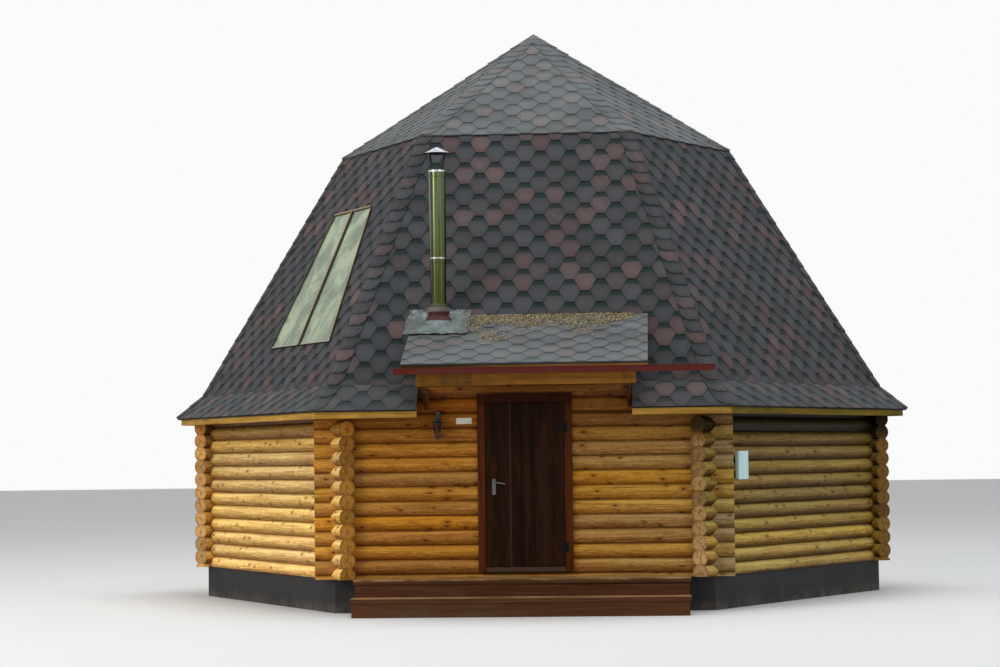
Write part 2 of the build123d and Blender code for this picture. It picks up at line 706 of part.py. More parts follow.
def canopy_root(drop):
    """Where the canopy's upper face, lowered by drop, meets the steep roof, a hair outside."""
    base = KNEE_A + 2 * SEAT + STEEP_SLOPE * KNEE_Z
    rise = canopy_top(0) - drop
    a = (base - STEEP_SLOPE * rise) / (1 - STEEP_SLOPE * CANOPY_SLOPE)
    return (a, rise - a * CANOPY_SLOPE)


def front_profile(points, x0, x1):
    """A section in (a, z) drawn along X between two limits."""
    with BuildPart() as piece:
        with BuildSketch(Plane.YZ.offset(x0)):
            with BuildLine():
                Polyline(*[(-a, z) for a, z in points], close=True)
            make_face()
        extrude(amount=x1 - x0)
    return piece


with BuildPart() as canopy_roof:
    add(front_profile((
        (CANOPY_A, CANOPY_Z),
        canopy_root(0),
        canopy_root(CANOPY_DROP),
        (CANOPY_A, CANOPY_Z - CANOPY_DROP),
    ), CANOPY_X0, CANOPY_X1).part)
    with Locations((PIPE_X, -PIPE_A, PIPE_Z0 + PIPE_L / 2)):
        Cylinder(PIPE_HOLE_R, PIPE_L, mode=Mode.SUBTRACT)
canopy_roof.part.label = "canopy_roof"
export_step(canopy_roof.part, "parts/canopy_roof.step")

# Canopy frame: two curved arms on the wall, a beam on them, and rafters on the beam
UNDER = CANOPY_DROP + SEAT
ARM_A = WALL_FACE + SEAT
ARM_TOP = BEAM_Z0 - SEAT


def arm(x0):
    """An arm of the canopy, hollowed to a curve beneath."""
    with BuildPart() as piece:
        with BuildSketch(Plane.YZ.offset(x0)):
            with BuildLine():
                Polyline(
                    (-ARM_A - RAFTER_W, ARM_TOP - ARM_DEPTH),
                    (-ARM_A, ARM_TOP - ARM_DEPTH),
                    (-ARM_A, ARM_TOP),
                    (-BEAM_A1, ARM_TOP),
                    (-BEAM_A1, ARM_TOP - ARM_NOSE),
                )
                ThreePointArc(
                    (-BEAM_A1, ARM_TOP - ARM_NOSE),
                    (-ARM_A - 0.35 * (BEAM_A1 - ARM_A), ARM_TOP - 0.35 * ARM_DEPTH),
                    (-ARM_A - RAFTER_W, ARM_TOP - ARM_DEPTH),
                )
            make_face()
        extrude(amount=RAFTER_W)
    return piece


def rafter(x0):
    """A rafter of the canopy, cut level where it lies on the beam."""
    with BuildPart() as piece:
        add(front_profile((
            (BEAM_A1, canopy_top(BEAM_A1) - UNDER),
            canopy_root(UNDER),
            canopy_root(UNDER + RAFTER_H),
            (BEAM_A1, canopy_top(BEAM_A1) - UNDER - RAFTER_H),
        ), x0, x0 + RAFTER_W).part)
        front_box(x0 - 1, x0 + RAFTER_W + 1, BEAM_A0 - RAFTER_W, BEAM_A1 + 1, BEAM_Z0,
                  BEAM_Z1 + SEAT, Mode.SUBTRACT)
    return piece


with BuildPart() as canopy_frame:
    front_box(BEAM_X0, BEAM_X1, BEAM_A0, BEAM_A1, BEAM_Z0, BEAM_Z1)
    for x0 in (BEAM_X0, (BEAM_X0 + BEAM_X1 - RAFTER_W) / 2, BEAM_X1 - RAFTER_W):
        add(rafter(x0).part)
    for x0 in (BEAM_X0, EAVE_X1 - ARM_IN - RAFTER_W):
        add(arm(x0).part)
canopy_frame.part.label = "canopy_frame"
export_step(canopy_frame.part, "parts/canopy_frame.step")

# Gutter: a square trough against the canopy's front edge, with a rolled rim and closed ends
GUTTER_A = CANOPY_A + SEAT
GUTTER_Z1 = CANOPY_Z - GUTTER_LOW
GUTTER_Z0 = GUTTER_Z1 - GUTTER_H
with BuildPart() as gutter:
    front_box(GUTTER_X0, GUTTER_X1, GUTTER_A, GUTTER_A + GUTTER_W, GUTTER_Z0, GUTTER_Z1)
    front_box(GUTTER_X0 + GUTTER_T, GUTTER_X1 - GUTTER_T, GUTTER_A + GUTTER_T,
              GUTTER_A + GUTTER_W - GUTTER_T, GUTTER_Z0 + GUTTER_T, GUTTER_Z1 + 1, Mode.SUBTRACT)
    front_box(GUTTER_X0, GUTTER_X1, GUTTER_A + GUTTER_W, GUTTER_A + GUTTER_W + 2 * GUTTER_T,
              GUTTER_Z1 - 3 * GUTTER_T, GUTTER_Z1)
gutter.part.label = "gutter"
export_step(gutter.part, "parts/gutter.step")

# Chimney pipe: two lengths, the upper one slipped over the lower, with beads and a rim
with BuildPart() as chimney_pipe:
    with Locations((PIPE_X, -PIPE_A, PIPE_Z0)):
        Cylinder(LOWER_R, JOINT_UP + 20, align=(Align.CENTER, Align.CENTER, Align.MIN))
    with Locations((PIPE_X, -PIPE_A, JOINT_Z)):
        Cylinder(PIPE_R, PIPE_Z1 - JOINT_Z, align=(Align.CENTER, Align.CENTER, Align.MIN))
        Cylinder(PIPE_R + 3, 14, align=(Align.CENTER, Align.CENTER, Align.MIN))
    with Locations((PIPE_X, -PIPE_A, JOINT_Z + 54)):
        Cylinder(PIPE_R + 4, 10)
    with Locations((PIPE_X, -PIPE_A, PIPE_Z1 - 65)):
        Cylinder(PIPE_R + 3, 8)
    with Locations((PIPE_X, -PIPE_A, PIPE_Z1 - 5)):
        Cylinder(PIPE_R + 5, 10)
    with Locations((PIPE_X, -PIPE_A, PIPE_Z0 + PIPE_L / 2)):
        Cylinder(FLUE_R, PIPE_L + 10, mode=Mode.SUBTRACT)
chimney_pipe.part.label = "chimney_pipe"
export_step(chimney_pipe.part, "parts/chimney_pipe.step")

# Cap: a sheet cone on four legs that spread from a ring on the pipe
RING_H = 6.0
with BuildPart() as chimney_cap:
    with Locations((PIPE_X, -PIPE_A, CAP_Z0)):
        Cone(CAP_R, 12, CAP_H, align=(Align.CENTER, Align.CENTER, Align.MIN))
        Cone(CAP_R - CAP_SHEET, 8, CAP_H - CAP_SHEET,
             align=(Align.CENTER, Align.CENTER, Align.MIN), mode=Mode.SUBTRACT)
    with BuildSketch(Plane.XY.offset(PIPE_Z1 + SEAT)):
        with Locations((PIPE_X, -PIPE_A)):
            Circle(PIPE_R - 2)
            Circle(FLUE_R + 2, mode=Mode.SUBTRACT)
    extrude(amount=RING_H)
    for angle in (45, 135, 225, 315):
        with BuildSketch(Plane.XY.offset(PIPE_Z1 + SEAT + RING_H - 1)):
            with Locations(Location((PIPE_X, -PIPE_A, 0), (0, 0, angle))):
                with Locations((PIPE_R - 15, 0)):
                    Rectangle(8, 20)
        with BuildSketch(Plane.XY.offset(CAP_Z0 + 12)):
            with Locations(Location((PIPE_X, -PIPE_A, 0), (0, 0, angle))):
                with Locations((CAP_R - 30, 0)):
                    Rectangle(8, 20)
        loft(ruled=True)
chimney_cap.part.label = "chimney_cap"
export_step(chimney_cap.part, "parts/chimney_cap.step")

# Flashing: a sheet on the canopy, a mound round the pipe and a flared rubber collar
canopy_tilt = Plane(
    origin=(PIPE_X, -PIPE_A, canopy_top(PIPE_A) + SEAT),
    x_dir=(1, 0, 0),
    z_dir=(0, -CANOPY_SLOPE, 1),
)
SHEET_T = 4.0
SHEET_W = 730.0
SHEET_UP = 110.0  # up the slope from the pipe's middle
SHEET_DOWN = 520.0
MOUND_R = 260.0
MOUND_H = 200.0
MOUND_TOP = 65.0  # above the collar's foot
COLLAR_LOW_R = 112.0
COLLAR_R = 140.0
COLLAR_H = 130.0
COLLAR_LIFT = 20.0
collar_z = canopy_top(PIPE_A) + COLLAR_LIFT
with BuildPart() as chimney_flashing:
    with BuildSketch(canopy_tilt):
        with Locations((0, (SHEET_UP - SHEET_DOWN) / 2)):
            RectangleRounded(SHEET_W, SHEET_UP + SHEET_DOWN, 80)
    extrude(amount=SHEET_T)
    with Locations((PIPE_X, -PIPE_A, collar_z + MOUND_TOP - MOUND_H / 2)):
        Cone(MOUND_R, COLLAR_LOW_R, MOUND_H)
    with Locations((PIPE_X, -PIPE_A, collar_z)):
        Cone(COLLAR_LOW_R, COLLAR_R, COLLAR_H, align=(Align.CENTER, Align.CENTER, Align.MIN))
    with Locations((PIPE_X, -PIPE_A, collar_z + COLLAR_H)):
        Cylinder(COLLAR_R + 2, 12, align=(Align.CENTER, Align.CENTER, Align.MIN))
        Cone(LOWER_R + 24, LOWER_R + 6, 60, align=(Align.CENTER, Align.CENTER, Align.MIN))
    with BuildSketch(canopy_tilt):
        Rectangle(2 * SHEET_W, 2 * SHEET_W)
    extrude(amount=-SHEET_W, mode=Mode.SUBTRACT)
    with Locations((PIPE_X, -PIPE_A, collar_z)):
        Cylinder(LOWER_R + SEAT, PIPE_L, mode=Mode.SUBTRACT)
chimney_flashing.part.label = "chimney_flashing"
export_step(chimney_flashing.part, "parts/chimney_flashing.step")

# Lantern: a six-sided tapered cage that hangs from an arm on the wall
LANTERN_A = WALL_FACE + LANTERN_OUT
ARM_UP = 100.0  # the arm above the cage's top rim
with BuildPart() as lantern:
    for side in range(6):
        with BuildSketch(Plane.XY.offset(LANTERN_Z - LANTERN_H)):
            with Locations(Location((LANTERN_X, -LANTERN_A, 0), (0, 0, 60 * side + 30))):
                with Locations((LANTERN_FOOT_R - 6, 0)):
                    Rectangle(7, 7)
        with BuildSketch(Plane.XY.offset(LANTERN_Z)):
            with Locations(Location((LANTERN_X, -LANTERN_A, 0), (0, 0, 60 * side + 30))):
                with Locations((LANTERN_R - 8, 0)):
                    Rectangle(7, 7)
        loft(ruled=True)
    with BuildSketch(Plane.XY.offset(LANTERN_Z - LANTERN_H - 5)):
        with Locations((LANTERN_X, -LANTERN_A)):
            RegularPolygon(LANTERN_FOOT_R, 6, rotation=30)
    extrude(amount=8)
    with BuildSketch(Plane.XY.offset(LANTERN_Z - 2)):
        with Locations((LANTERN_X, -LANTERN_A)):
            RegularPolygon(LANTERN_R + 8, 6, rotation=30)
    extrude(amount=6)
    with Locations((LANTERN_X, -LANTERN_A, LANTERN_Z + 4)):
        Cone(LANTERN_R, 14, 64, align=(Align.CENTER, Align.CENTER, Align.MIN))
    with Locations((LANTERN_X, -LANTERN_A, LANTERN_Z + 66)):
        Cylinder(5, ARM_UP - 60, align=(Align.CENTER, Align.CENTER, Align.MIN))
    with Locations((LANTERN_X, -LANTERN_A, LANTERN_Z - LANTERN_H - 36)):
        Cone(4, 16, 32, align=(Align.CENTER, Align.CENTER, Align.MIN))
    front_box(LANTERN_X - 5, LANTERN_X + 5, WALL_FACE + 4, LANTERN_A + 5, LANTERN_Z + ARM_UP,
              LANTERN_Z + ARM_UP + 10)
    front_box(LANTERN_X - 28, LANTERN_X + 28, WALL_FACE + SEAT, WALL_FACE + 8,
              LANTERN_Z + ARM_UP - 60, LANTERN_Z + ARM_UP + 40)
lantern.part.label = "lantern"
export_step(lantern.part, "parts/lantern.step")

with BuildPart() as plaque:
    with BuildSketch(Plane.XZ.offset(WALL_FACE + SEAT)):
        with Locations((PLAQUE_X, PLAQUE_Z)):
            RectangleRounded(PLAQUE_W, PLAQUE_H, 6)
    extrude(amount=5)
plaque.part.label = "plaque"
export_step(plaque.part, "parts/plaque.step")

# Meter box with a lid that stands out from its body
with BuildPart() as meter_box_front:
    front_box(METER_IN - HALF, METER_IN - HALF + METER_W, WALL_FACE + SEAT,
              WALL_FACE + METER_D - 25, METER_Z, METER_Z + METER_H)
    front_box(METER_IN - HALF - 4, METER_IN - HALF + METER_W + 4, WALL_FACE + METER_D - 25,
              WALL_FACE + METER_D, METER_Z - 4, METER_Z + METER_H + 4)
meter_box = turned(meter_box_front, 1)
meter_box.part.label = "meter_box"
export_step(meter_box.part, "parts/meter_box.step")
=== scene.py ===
"""A hexagonal log cabin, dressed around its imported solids."""

import math
import random

import bpy
from mathutils import Matrix, Vector, noise


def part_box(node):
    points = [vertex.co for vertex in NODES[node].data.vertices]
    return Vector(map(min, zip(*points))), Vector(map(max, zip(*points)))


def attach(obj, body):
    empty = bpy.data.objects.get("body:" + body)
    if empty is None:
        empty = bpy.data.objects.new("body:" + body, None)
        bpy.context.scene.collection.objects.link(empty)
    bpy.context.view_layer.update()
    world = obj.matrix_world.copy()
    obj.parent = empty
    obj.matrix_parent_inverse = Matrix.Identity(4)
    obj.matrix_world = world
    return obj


bl_info = {
    "name": "Hexagonal log cabin",
    "version": (1, 0, 0),
    "blender": (4, 5, 0),
    "location": "3D View > Sidebar > Cabin",
    "description": "Shingles, boards, metalwork and materials of a log cabin",
    "category": "Object",
}

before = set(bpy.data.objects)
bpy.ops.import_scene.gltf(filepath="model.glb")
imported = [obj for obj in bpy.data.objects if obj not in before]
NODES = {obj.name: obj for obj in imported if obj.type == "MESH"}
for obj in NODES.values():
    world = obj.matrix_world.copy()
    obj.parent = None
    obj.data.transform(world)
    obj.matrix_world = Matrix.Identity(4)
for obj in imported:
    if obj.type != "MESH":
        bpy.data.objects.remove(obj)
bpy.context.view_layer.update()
CABIN = "cabin"

# The plan and the log rows; what is no box's edge repeats the CAD's own values
WALL_TURN = math.radians(60)
COS30 = math.cos(math.radians(30))
FRONT_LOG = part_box("front_wall_left")
LOG_REACH = -FRONT_LOG[0].x
LOG_R = (FRONT_LOG[1].y - FRONT_LOG[0].y) / 2
WALL_LINE = -FRONT_LOG[0].y - LOG_R
LOG_RISE = 0.173
FRONT_LOG_Z = 0.3615
SIDE_LOG_Z = FRONT_LOG_Z + LOG_RISE / 2
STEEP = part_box("steep_roof_front")
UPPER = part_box("upper_roof")
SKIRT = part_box("skirt_roof")
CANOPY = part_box("canopy_roof")
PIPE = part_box("chimney_pipe")
PIPE_X = (PIPE[0].x + PIPE[1].x) / 2
PIPE_Y = (PIPE[0].y + PIPE[1].y) / 2
DECK_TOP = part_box("upper_deck")[1].z

# Breaks of the roof: how far out and how high
KNEE = (-STEEP[0].y, STEEP[0].z)
APEX = (0.0, UPPER[1].z)
BREAK = (2.242, 5.914)
EAVE = (-SKIRT[0].y, 2.400)
UPPER_FALL = (APEX[1] - BREAK[1]) / BREAK[0]
DRIP = -UPPER[0].y - BREAK[0]
# The part of the front eave that the canopy takes up
EAVE_X0 = -1.225
EAVE_X1 = 1.308
CANOPY_SLOPE = 0.391

# The roof window in its facet: corners of the opening, the line of its bar, and its height
WINDOW = ((-0.407, 0.630), (1.578, 0.630), (0.755, 2.625), (-0.454, 2.625))
WINDOW_BAR = ((0.561, 0.630), (0.158, 2.625))
WINDOW_RISE = 0.030

# Widths of boards, and heights where a finish changes
LANDING_BOARD = 0.138
DOOR_PLANK = 0.29
ROOF_BOARD = 0.11
FASCIA_JOINT = 0.352
# Above the next height the foil gets painted highlights; below ARM_TOP the canopy's boards get
# painted shade
FOIL_HIGHLIGHT = CANOPY[1].z - 0.03
ARM_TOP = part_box("canopy_frame")[0].z + 0.25
CAP_CONE = 5.480
BAR_FOOT = 3.30
LANTERN_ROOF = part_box("lantern")[1].z - 0.115
# Bands on the chimney pipe, at its joint and its top: from, to, colour; the pale ones are
# painted highlights on the rims, the dark ones darker lines below them
PIPE_BANDS = (
    (4.160, 4.172, (0.05, 0.055, 0.03, 1)), (4.212, 4.228, (0.45, 0.48, 0.42, 1)),
    (5.190, 5.206, (0.07, 0.09, 0.03, 1)), (5.262, 5.30, (0.62, 0.66, 0.60, 1)))

# Folded tabs on the hips and at the apex
HIP_WIDTH = 0.135
HIP_OVERLAP = 1.55
HIP_THICK = 0.011
APEX_LIFT = 0.026
APEX_THICK = 0.010

# Foil round the chimney: the noise's seed, which must not be 0, cells across and down, how far
# it lies down the slope and turns up
FOIL_SEED = 7
FOIL_CELLS = (60, 58)
FOIL_REACH = 0.70
FOIL_TURN_UP = 0.075

# Needles: how many, their left end, and looser drifts further down the slope, each with its
# middle, half width, start and reach
LITTER_BITS = 9000
LITTER_LEFT = -0.66
DRIFTS = (
    (-0.36, 0.20, 0.76, 0.26), (-0.30, 0.16, 0.84, 0.20), (0.05, 0.30, 0.34, 0.28),
    (0.16, 0.16, 0.40, 0.36), (0.58, 0.30, 0.42, 0.28), (0.75, 0.20, 0.56, 0.24),
    (-0.55, 0.20, 0.42, 0.28), (0.98, 0.20, 0.36, 0.20))

# Lantern panes: height and radius at the foot and at the head
LANTERN_Y = -4.0278
PANE_ENDS = ((2.070, 0.037), (2.228, 0.060))
PANE_THICK = 0.002

# Wall node, how many sixths it is turned from the front, its lowest log's middle, and finish
WALLS = (
    ("front_bottom_log", 0, FRONT_LOG_Z, "front"),
    ("front_wall_left", 0, FRONT_LOG_Z, "front"),
    ("front_wall_right", 0, FRONT_LOG_Z, "front"),
    ("front_wall_over_door", 0, FRONT_LOG_Z, "front"),
    ("right_front_wall", 1, SIDE_LOG_Z, "shaded"),
    ("right_back_wall", 2, FRONT_LOG_Z, "far_shaded"),
    ("back_wall", 3, SIDE_LOG_Z, "front"),
    ("left_back_wall", 4, FRONT_LOG_Z, "far_sunned"),
    ("left_front_wall", 5, SIDE_LOG_Z, "sunned"),
)


# Settings


class CabinRoofSettings(bpy.types.PropertyGroup):
    """Sizes of the hexagonal roof tabs."""

    pitch: bpy.props.FloatProperty(
        name="Column pitch", description="Across the roof from one column of tabs to the next",
        default=0.1883, min=0.05, unit="LENGTH")
    exposure: bpy.props.FloatProperty(
        name="Exposure", description="Up the slope from one row of tabs to the next",
        default=0.159, min=0.05, unit="LENGTH")
    tip: bpy.props.FloatProperty(
        name="Tab tip", description="Half the width of a tab's straight lower edge",
        default=0.053, min=0.01, unit="LENGTH")
    lift: bpy.props.FloatProperty(
        name="Tab lift", description="How far a tab's lower edge stands off the roof",
        default=0.011, min=0.002, unit="LENGTH")
    seed: bpy.props.IntProperty(
        name="Seed", description="Draws the tabs' tones and small shifts", default=7)


def colour_setting(name, description, default):
    """A colour that a user would change."""
    return bpy.props.FloatVectorProperty(
        name=name, description=description, default=default, subtype="COLOR", size=4, min=0,
        max=1)


class CabinColourSettings(bpy.types.PropertyGroup):
    """Colours a user would change."""

    front_log: colour_setting(
        "Front logs", "Oiled golden logs of the front wall", (0.44, 0.198, 0.030, 1))
    # Painted light and shade: the left walls' logs get a paler sunlit colour, the right walls' a
    # darker, duller shaded colour
    sunned_log: colour_setting(
        "Sunned logs", "Paler logs of the left walls", (0.82, 0.53, 0.155, 1))
    shaded_log: colour_setting(
        "Shaded logs", "Duller logs of the right walls", (0.30, 0.205, 0.040, 1))
    slate: colour_setting(
        "Roof tabs", "Mineral grit of the plain tabs", (0.050, 0.050, 0.054, 1))
    rust: colour_setting(
        "Red roof tabs", "Grit of the red-brown tabs", (0.096, 0.062, 0.061, 1))
    deck: colour_setting(
        "Landing", "Red-brown stain of the landing boards", (0.100, 0.038, 0.015, 1))
    gutter: colour_setting("Gutter", "Red paint of the gutter", (0.092, 0.012, 0.008, 1))


class CabinStageSettings(bpy.types.PropertyGroup):
    """Camera and floor."""

    lens: bpy.props.FloatProperty(
        name="Lens", description="Focal length on a 36 mm wide frame, in millimetres",
        default=86.93, min=10)
    eye: bpy.props.FloatVectorProperty(
        name="Eye", description="Where the camera stands", size=3, subtype="XYZ",
        default=(1.636, -32.479, 1.845))
    yaw: bpy.props.FloatProperty(
        name="Yaw", description="Camera turned left of straight ahead", subtype="ANGLE",
        default=math.radians(3.773))
    pitch: bpy.props.FloatProperty(
        name="Pitch", description="Camera tipped up", subtype="ANGLE",
        default=math.radians(2.894))
    roll: bpy.props.FloatProperty(
        name="Roll", description="Camera rolled about its own axis", subtype="ANGLE",
        default=math.radians(-0.734))
    floor_size: bpy.props.FloatProperty(
        name="Floor size", description="Side of the studio floor", default=240.0, unit="LENGTH")


def roof_settings():
    """The roof's settings of this scene."""
    return bpy.context.scene.cabin_roof


def colours():
    """The colour settings of this scene."""
    return bpy.context.scene.cabin_colours


# Node helpers


class Value:
    """A socket's value; arithmetic on it adds Math nodes to its tree."""

    def __init__(self, socket):
        self.socket = socket
        self.tree = socket.id_data

    def __add__(self, other):
        return calc("ADD", self, other)

    def __sub__(self, other):
        return calc("SUBTRACT", self, other)

    def __rsub__(self, other):
        return calc("SUBTRACT", other, self)

    def __mul__(self, other):
        return calc("MULTIPLY", self, other)

    def __truediv__(self, other):
        return calc("DIVIDE", self, other)

    def __gt__(self, other):
        return calc("GREATER_THAN", self, other)

    def __lt__(self, other):
        return calc("LESS_THAN", self, other)

    def __abs__(self):
        return calc("ABSOLUTE", self)


def feed(made, inputs):
    """Sets or links a node's inputs."""
    for name, value in inputs.items():
        if isinstance(value, Value):
            value.tree.links.new(value.socket, made.inputs[name])
        else:
            made.inputs[name].default_value = value


def add_node(tree, kind, inputs=None, **settings):
    """A node with its settings made and its inputs set or linked."""
    made = tree.nodes.new(kind)
    for name, value in settings.items():
        setattr(made, name, value)
    feed(made, inputs or {})
    return made


def outputs(made):
    """A node's output values by name."""
    return {socket.name: Value(socket) for socket in made.outputs}


def node(kind, inputs, output=0, **settings):
    """One output of a new node, which goes into the tree of its first linked input."""
    tree = next(value.tree for value in inputs.values() if isinstance(value, Value))
    return Value(add_node(tree, kind, inputs, **settings).outputs[output])


def calc(operation, *values):
    """A Math node's result."""
    return node("ShaderNodeMath", dict(enumerate(values)), operation=operation)


def distance(a, b):
    """Length of a flat vector."""
    return calc("SQRT", a * a + b * b)


def ramp(value, low, high, out_low=0.0, out_high=1.0, smooth=True):
    """A value remapped between two limits."""
    return node("ShaderNodeMapRange", {
        "Value": value, "From Min": low, "From Max": high, "To Min": out_low, "To Max": out_high,
    }, interpolation_type="SMOOTHSTEP" if smooth else "LINEAR")


def mix(mask, first, second, blend="MIX"):
    """Two colours mixed."""
    return node("ShaderNodeMix", {0: mask, 6: first, 7: second}, 2,
                data_type="RGBA", blend_type=blend)


def layered(colour, *layers):
    """A colour with others laid over it, each by its own mask."""
    for mask, layer in layers:
        colour = mix(mask, colour, layer)
    return colour


def shaded(colour, *shades):
    """A colour multiplied by others, each by its own mask."""
    for mask, shade in shades:
        colour = mix(mask, colour, shade, "MULTIPLY")
    return colour


def toned(colour, value, hue=0.5, saturation=1.0):
    """A colour brightened by a factor and shifted in hue and saturation."""
    return node("ShaderNodeHueSaturation", {
        "Color": colour, "Value": value, "Hue": hue, "Saturation": saturation})


def combine(x, y, z):
    """Three values as a vector."""
    return node("ShaderNodeCombineXYZ", {0: x, 1: y, 2: z})


def separate(vector):
    """A vector's three values."""
    made = add_node(vector.tree, "ShaderNodeSeparateXYZ", {0: vector})
    return [Value(socket) for socket in made.outputs]


def scaled(vector, factors):
    """A vector stretched by three factors."""
    return node("ShaderNodeVectorMath", {0: vector, 1: factors}, operation="MULTIPLY")


def turned_by(vector, angle):
    """A vector turned about Z."""
    return node("ShaderNodeVectorRotate", {"Vector": vector, "Axis": (0, 0, 1), "Angle": angle},
                rotation_type="AXIS_ANGLE")


def noise_value(vector, scale, detail=3.0, roughness=0.5, distortion=0.0):
    """Noise between 0 and 1."""
    return node("ShaderNodeTexNoise", {
        "Vector": vector, "Scale": scale, "Detail": detail, "Roughness": roughness,
        "Distortion": distortion})


def object_place(tree):
    """A point's place in the cabin's own frame."""
    return outputs(add_node(tree, "ShaderNodeTexCoord"))["Object"]


def surface_normal(tree):
    """The surface's normal."""
    return outputs(add_node(tree, "ShaderNodeNewGeometry"))["Normal"]


def face_tone(tree):
    """The value drawn for each face of a sheet."""
    return outputs(add_node(tree, "ShaderNodeAttribute", attribute_name="tone",
                            attribute_type="GEOMETRY"))["Fac"]


def start_group(name, inputs):
    """A node group with the given inputs and defaults; returns its tree and input values."""
    tree = bpy.data.node_groups.new(name, "ShaderNodeTree")
    for label, default in inputs.items():
        kind = "Float" if isinstance(default, float) else {3: "Vector", 4: "Color"}[len(default)]
        socket = tree.interface.new_socket(label, in_out="INPUT", socket_type="NodeSocket" + kind)
        socket.default_value = default
    return tree, outputs(tree.nodes.new("NodeGroupInput"))


def end_group(tree, **values):
    """Gives a node group its outputs."""
    for label in values:
        kind = "Color" if label == "Color" else "Float"
        tree.interface.new_socket(label, in_out="OUTPUT", socket_type="NodeSocket" + kind)
    feed(tree.nodes.new("NodeGroupOutput"), values)


def use_group(tree, name, inputs):
    """One use of a node group in a material."""
    return outputs(add_node(tree, "ShaderNodeGroup", node_tree=bpy.data.node_groups[name],
                            inputs=inputs))


def new_material(name, **sockets):
    """A material with one Principled BSDF; returns it with its tree and shader."""
    made = bpy.data.materials.new(name)
    made.use_nodes = True
    shader = made.node_tree.nodes["Principled BSDF"]
    feed(shader, {label.replace("_", " "): value for label, value in sockets.items()})
    return made, made.node_tree, shader


def paint(shader, colour, roughness, height=None, strength=0.35, depth=0.002):
    """Gives a shader its colour, its roughness and a relief."""
    feed(shader, {"Base Color": colour, "Roughness": roughness})
    if height:
        feed(shader, {"Normal": node("ShaderNodeBump", {
            "Height": height, "Strength": strength, "Distance": depth})})


# Node groups


